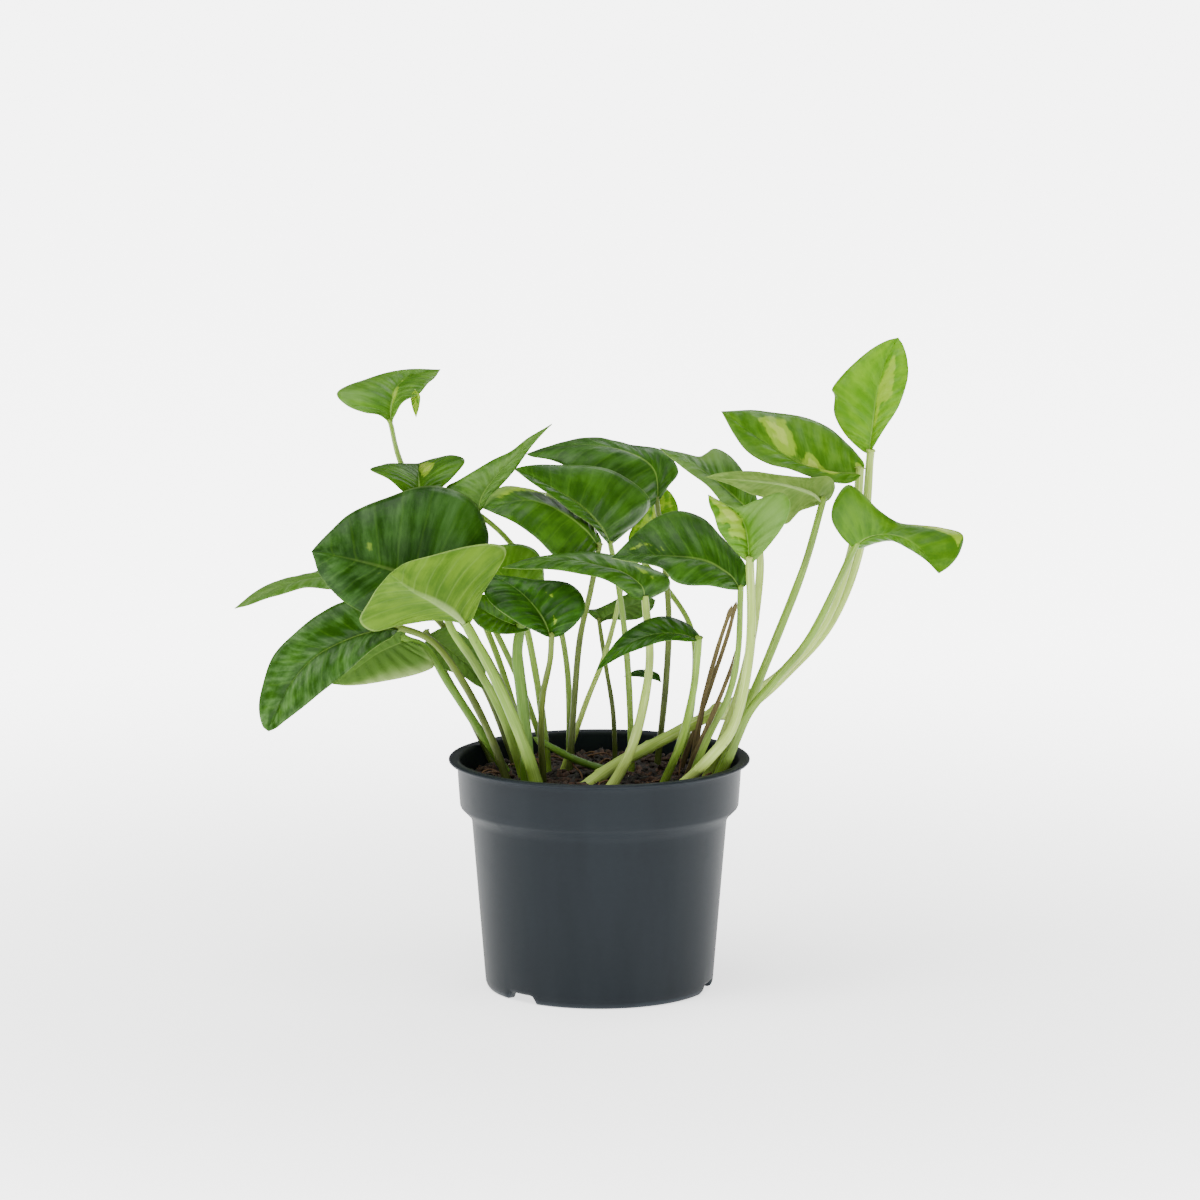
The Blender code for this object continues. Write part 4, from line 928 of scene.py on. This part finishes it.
add_leaf(
    "leaf_low_pale", tone=0.35, dull=((0.5, 0.0, 1.2, 2.0, 0.85), (0.6, -1.0, 0.6, 0.28, 0.7)), gold=0.1,
    wave=0.3,
    rib=((-83, 14, 151.4), (-95, 12, 146), (-106, 10, 138), (-115, 8, 132.2)),
    left=((-76, 9, 148), (-71, 6, 141), (-75, 4, 137.8), (-89, 3, 134.1), (-100, 4, 132.2),
        (-109, 6, 131.6)),
    right=((-86, 24, 158), (-98, 24, 155), (-108, 18, 146), (-113, 12, 138)),
)
add_leaf(
    "leaf_behind_stems", tone=0.2, dull=((0.5, 0.0, 1.5, 2.5, 0.7),), wave=0.3,
    rib=((-74, 24, 154), (-66, 24, 148), (-57, 21, 140), (-49, 18, 129.5)),
    left=((-66, 29, 157), (-57, 28, 152), (-50, 23, 142)),
    right=((-76, 20, 147), (-70, 18, 140), (-60, 16, 136), (-54, 16, 132)),
)
add_leaf(
    "leaf_mid_left", tone=0.62, gold=0.05, dull=((0.3, 0.6, 0.6, 0.7, 0.4),), sheen=0.15,
    rib=((-33, -8, 165.6), (-37, -8, 175), (-47, -10, 184), (-60, -13, 188)),
    left=((-38, -10, 167), (-46, -14, 171), (-54, -17, 177), (-59, -15, 183)),
    right=((-28, -5, 167), (-24, -1, 174), (-23.7, 3, 183), (-27, 6, 190), (-35, 4, 193.2),
        (-46, -2, 192.8), (-55, -8, 190.5)),
)
add_leaf(
    "leaf_low_dark", tone=0.15,
    rib=((-33.5, -16, 157.3), (-43, -21, 161), (-55, -27, 168)),
    left=((-30, -18, 156), (-38, -22, 154.3), (-48, -27, 155.6), (-54, -29, 161.5)),
    right=((-29, -15, 161), (-34, -18, 167), (-44, -21, 171), (-52, -25, 171)),
)
add_leaf(
    "leaf_small_round", tone=0.04, wave=0.3,
    patches=((0.35, 0.25, 0.2, 0.12, 0.45), (0.5, 0.5, 0.15, 0.1, 0.4)), belly=0.12,
    rib=((-20.5, -36, 152.8), (-24, -35, 161), (-30, -32, 169), (-37, -29, 175), (-46, -25, 180)),
    left=((-23, -39, 153.5), (-27.3, -42, 155.8), (-36, -43, 160), (-44.5, -38, 166.5),
        (-48.8, -30.5, 171.7), (-49, -26.5, 176.2)),
    right=((-16, -38, 153.8), (-10, -39, 158.6), (-6, -37, 164.5), (-7.5, -33, 171.5), (-13, -31, 176.3),
        (-20, -28, 177.5), (-27, -26, 177.5), (-36, -25, 179)),
)

# Middle of the plant: overlapping blades that face the light and lean over one another.
add_leaf(
    "leaf_spear", tone=0.35, sheen=0.35, dull=((0.6, 0.0, 0.9, 0.9, 0.55),), wave=0.3,
    rib=((-52, 12, 207), (-49.5, 13, 216), (-38, 16, 230), (-20.4, 20, 245.8)),
    left=((-60, 14, 211), (-66, 16, 217.5), (-60, 18, 221.6), (-47, 20, 229.7), (-38, 21, 234),
        (-30.5, 21, 239.9)),
    right=((-49, 12, 210), (-45.5, 11, 215), (-36, 12, 226), (-28, 16, 237.4)),
)
add_leaf(
    "leaf_half_gold", tone=0.15, patches=((0.7, 0.75, 0.3, 0.5, 0.62), (0.35, 0.7, 0.3, 0.45, 0.45)),
    dull=((0.5, 0.9, 0.7, 0.35, 1.2),),
    rib=((0, -7, 191.8), (-4, -8, 197.5), (-10, -9, 203), (-16.8, -10, 207.5), (-24, -11, 210.8),
        (-33, -12, 212), (-49.5, -13, 208.6)),
    left=((-6, -13, 186), (-14, -18, 184), (-20.4, -20, 188.7), (-28.4, -21, 197), (-35, -20, 202),
        (-44, -16, 206)),
    right=((1, -3, 194), (0, 2, 197.5), (-3, 8, 202), (-9, 14, 208), (-18, 17, 213.5), (-30, 16, 217.4),
        (-40, 7, 218.3), (-47, -5, 213.5)),
)
add_leaf(
    "leaf_centre_veined", tone=0.12, sheen=0.06,
    rib=((5, 6, 193), (0, 2, 201.4), (-8, -3, 209.8), (-20, -6, 217.5), (-36.5, -8, 225.8)),
    left=((2, 1, 195.5), (-4, -5, 201.8), (-11, -9, 207), (-21, -11, 214), (-30, -11, 220.8)),
    right=((9.3, 10, 196.5), (14.5, 16, 201.4), (20.8, 20, 208), (22, 22, 213), (19, 21, 217.3),
        (13, 19, 221.6), (4, 16, 225.6), (-8, 10, 227.6), (-22, 2, 228), (-31, -5, 227.2)),
)
add_leaf(
    "leaf_top_centre", tone=0.1, sheen=0.12, belly=0.12,
    rib=((25.3, 36, 212), (25.3, 37, 220), (24, 38, 226), (19, 38, 231), (9, 37, 235), (-4, 36, 237),
        (-18, 35, 236), (-31.5, 34, 233)),
    left=((16, 31, 207), (4, 25, 209), (-5, 22, 217), (-10, 22, 225), (-20, 26, 229.6), (-29, 31, 231.8)),
    right=((30, 38, 219), (34.3, 42, 226), (27, 48, 234.8), (12, 50, 238), (-2, 50, 240),
        (-14, 46, 238.5), (-25, 40, 235.5)),
)
add_leaf(
    "leaf_gold_behind", tone=0.6, gold=0.35, patches=((0.7, -0.2, 0.3, 0.4, 0.5),),
    rib=((21, 50, 184.5), (23, 53, 198), (25.5, 57, 210), (28.5, 60, 219)),
    left=((15, 46, 189), (12.5, 46, 197), (19, 50, 207), (23, 54, 213.5)),
    right=((28, 52, 190), (33, 54, 200), (34.5, 56, 209), (32, 58, 215.5)),
)
add_leaf(
    "leaf_centre_right", tone=0.1, sheen=0.1,
    patches=((0.84, 0.35, 0.18, 0.4, 0.58), (0.45, 0.15, 0.3, 0.12, 0.36)),
    rib=((60, -34, 173.2), (56.6, -35, 178.6), (52, -36, 182), (46.7, -37, 185), (40, -38, 186.7),
        (30, -40, 187.6), (16, -43, 188.2), (5.2, -45, 187)),
    left=((55, -38, 173.5), (47, -45, 174.8), (38, -51, 175.5), (31, -54, 177.5), (26, -54, 182),
        (16.5, -50, 185), (10, -47, 186)),
    right=((63, -32, 177), (62, -28, 184), (57.6, -24, 190), (52, -21, 197), (45, -18, 204),
        (34.6, -18, 207), (25, -22, 205), (17.5, -29, 200), (11, -38, 193)),
)
add_leaf(
    "leaf_centre_long", tone=0.15, sheen=0.15, patches=((0.3, 0.5, 0.15, 0.2, 0.4),), wave=0.4,
    rib=((19.2, -24, 168.6), (18, -26, 175), (10, -29, 181), (0, -31, 183.7), (-9, -33, 185.8),
        (-20, -36, 186.3), (-30, -40, 185.3), (-41, -44, 182.8)),
    left=((14, -29, 170), (8, -35, 174.5), (0, -39, 178.6), (-9, -40, 180.5), (-22, -42, 182),
        (-33, -43.5, 182.3)),
    right=((24, -20, 170.7), (29.7, -17, 174.5), (28.5, -15, 179.5), (19, -15, 184), (10.4, -17, 187.3),
        (0, -21, 189.3), (-12, -26, 189.3), (-28, -35, 187.3)),
)
add_leaf(
    "leaf_small_low", tone=0.06, patches=((0.5, 0.25, 0.25, 0.2, 0.42),),
    rib=((43, -44, 151.5), (34, -45, 154.5), (22, -47, 154), (10, -49, 148.5), (-1.4, -50, 138.5)),
    left=((38, -48, 151.2), (31, -50, 151.6), (22, -51, 149.8), (13, -52, 146.6), (5, -51, 142.3)),
    right=((42.5, -40, 154), (37.5, -38, 158.6), (28, -37, 161.9), (20.5, -38, 161), (12.6, -41, 156),
        (6.3, -44, 150), (1.5, -48, 143.5)),
)
add_leaf(
    "leaf_small_behind", tone=0.1, wave=0.2, dull=((0.5, 0.0, 1.0, 1.5, 0.6),),
    rib=((0, 30, 159.1), (4, 32, 162.5), (12, 35, 166), (24.5, 40, 169)),
    left=((-5.5, 31, 164.2), (-1, 33, 165.2), (5, 35, 168), (12, 37, 171.5), (19, 39, 172)),
    right=((5, 29, 160.5), (12, 31, 160), (18, 34, 161), (23, 38, 165)),
)
add_leaf(
    "leaf_sliver", tone=0.0, wave=0.1, ridge=0.0,
    rib=((26.9, 23.2, 133.2), (20, 22, 137), (10.7, 21, 135.4)),
    left=((23, 20.5, 134.2), (16.5, 20, 135.3)),
    right=((25, 24.5, 137), (17, 23.5, 138.4)),
)

# Right side of the plant: strongly marbled blades on the pale petioles that lean out.
add_leaf(
    "leaf_pale_folded", tone=0.55, gold=0.1, wave=0.3, patches=((0.75, -0.4, 0.4, 0.5, 0.6),),
    dull=((0.5, 0.6, 1.2, 0.55, 0.78),), underlit=0.5, sheen=0.15,
    rib=((63.3, -46, 185), (62.5, -45, 195), (60.5, -44, 203), (55, -45, 208.5), (45.8, -48, 214)),
    left=((60, -47, 187), (54.5, -49, 193), (50, -51, 199), (48.3, -51, 205), (46.3, -50, 210)),
    right=((65.3, -48, 185.5), (71, -50, 191.5), (78, -52, 201.7), (80.5, -52, 210.5), (76.5, -50, 215),
        (67, -47, 212), (59, -45.5, 208.8), (52, -46, 210.3)),
)
add_leaf(
    "leaf_right_marbled", tone=0.3, gold=0.1, sheen=0.3,
    dull=((0.6, -0.7, 0.7, 0.5, 0.8), (0.6, 0.9, 0.25, 0.5, 0.9)), wave=0.4, underlit=0.7,
    rib=((66, -4, 206.3), (58, -5, 213.5), (48, -6, 222), (38, -8, 229), (25.8, -10, 234.7)),
    left=((61, -9, 204.5), (55.5, -14, 207), (50, -15, 213.5), (44.5, -15, 219.5), (34.6, -13, 227),
        (29, -12, 231.5)),
    right=((68, 2, 212), (64, 8, 221), (60, 11, 227), (55, 12, 232.5), (49.5, 12, 235.2), (45.5, 10, 233),
        (42.4, 8, 231.6), (35, 2, 232.8)),
)
add_leaf(
    "leaf_right_twisted", tone=0.55, underlit=0.35, wave=0.3, dull=((0.5, 0.0, 1.0, 1.5, 0.3),),
    rib=((95, -2, 210.7), (90, -5, 215.5), (77, -10, 219), (61, -16, 220.8), (45, -20, 222)),
    left=((99, 2, 213), (101, 2, 218.5), (98, 0, 222.6), (90, -2, 222.2), (77, -7, 223.3),
        (63.6, -13, 224.8), (52, -19, 223.8)),
    right=((90, -8, 209), (85, -11, 207), (80, -13, 202), (76.5, -14, 204), (72, -14, 212),
        (64, -15, 215), (55, -18, 219)),
)
add_leaf(
    "leaf_upper_right", tone=0.4,
    patches=((0.68, 0.5, 0.12, 0.55, 0.72), (0.5, -0.05, 0.08, 0.3, 0.95), (0.33, -0.25, 0.07, 0.3, 0.95),
        (0.1, 0.35, 0.06, 0.4, 0.8)),
    dull=((0.6, -1.0, 0.8, 0.5, 0.5),), belly=0.1, sheen=0.1,
    rib=((113, 12, 224.4), (102, 10, 224.3), (90, 9, 227), (79, 8, 232.5), (66, 8, 241), (52.2, 8, 251)),
    left=((110.5, 8, 221.4), (105.7, 5, 219.4), (97, 2, 220.7), (90, 1, 223), (82, 0, 225.5),
        (73, -1, 227.3), (64, 1, 233), (57.6, 4, 241)),
    right=((114, 16, 228), (111.6, 18, 232), (107.5, 20, 237), (100, 23, 243.6), (90, 24, 248),
        (80, 24, 250.6), (69, 20, 251.8), (60, 14, 251.4)),
)
add_leaf(
    "leaf_top_right", tone=0.75, gold=0.05,
    patches=((0.7, 0.42, 0.26, 0.3, 0.6), (0.45, 0.1, 0.25, 0.12, 0.4), (0.6, -0.5, 0.3, 0.2, 0.2)),
    belly=0.1,
    rib=((116, 18, 232.5), (117.7, 19, 246), (119, 21, 257), (121.2, 23, 267), (125, 25, 277),
        (128.6, 26, 283.6)),
    left=((112.5, 18, 234.5), (106, 20, 241), (101.2, 22, 250), (101.2, 24, 258), (100.2, 24.5, 261.5),
        (106.3, 26, 269), (115.5, 26, 277.5), (123, 26, 282)),
    right=((118.5, 17, 236.5), (123.4, 16, 245), (129.5, 16, 255), (132.4, 18, 265), (132.3, 21, 274),
        (130.8, 24, 280)),
)
add_leaf(
    "leaf_far_right", tone=0.36, dull=((0.43, -1.0, 0.1, 0.15, 0.9),), underlit=0.0, wave=0.3,
    patches=((0.75, -0.9, 0.18, 0.3, 0.7),),
    rib=((108.4, -14, 191.5), (115, -16, 196), (124, -19, 197.3), (134, -23, 193), (144.5, -26, 180.4)),
    left=((103, -18, 196.5), (98.7, -20, 204), (100, -20, 212), (105.7, -19, 218.8), (113, -17, 214),
        (119.4, -15, 207.8), (127.6, -13, 202.5), (136, -12, 201.3), (146, -12, 200.2),
        (154.9, -14, 197.5), (153.8, -19, 190), (149.5, -23, 184)),
    right=((112, -10, 191.5), (118, -12, 193.5), (125, -16, 194.5), (131, -20, 191.5), (139, -24, 186)),
)
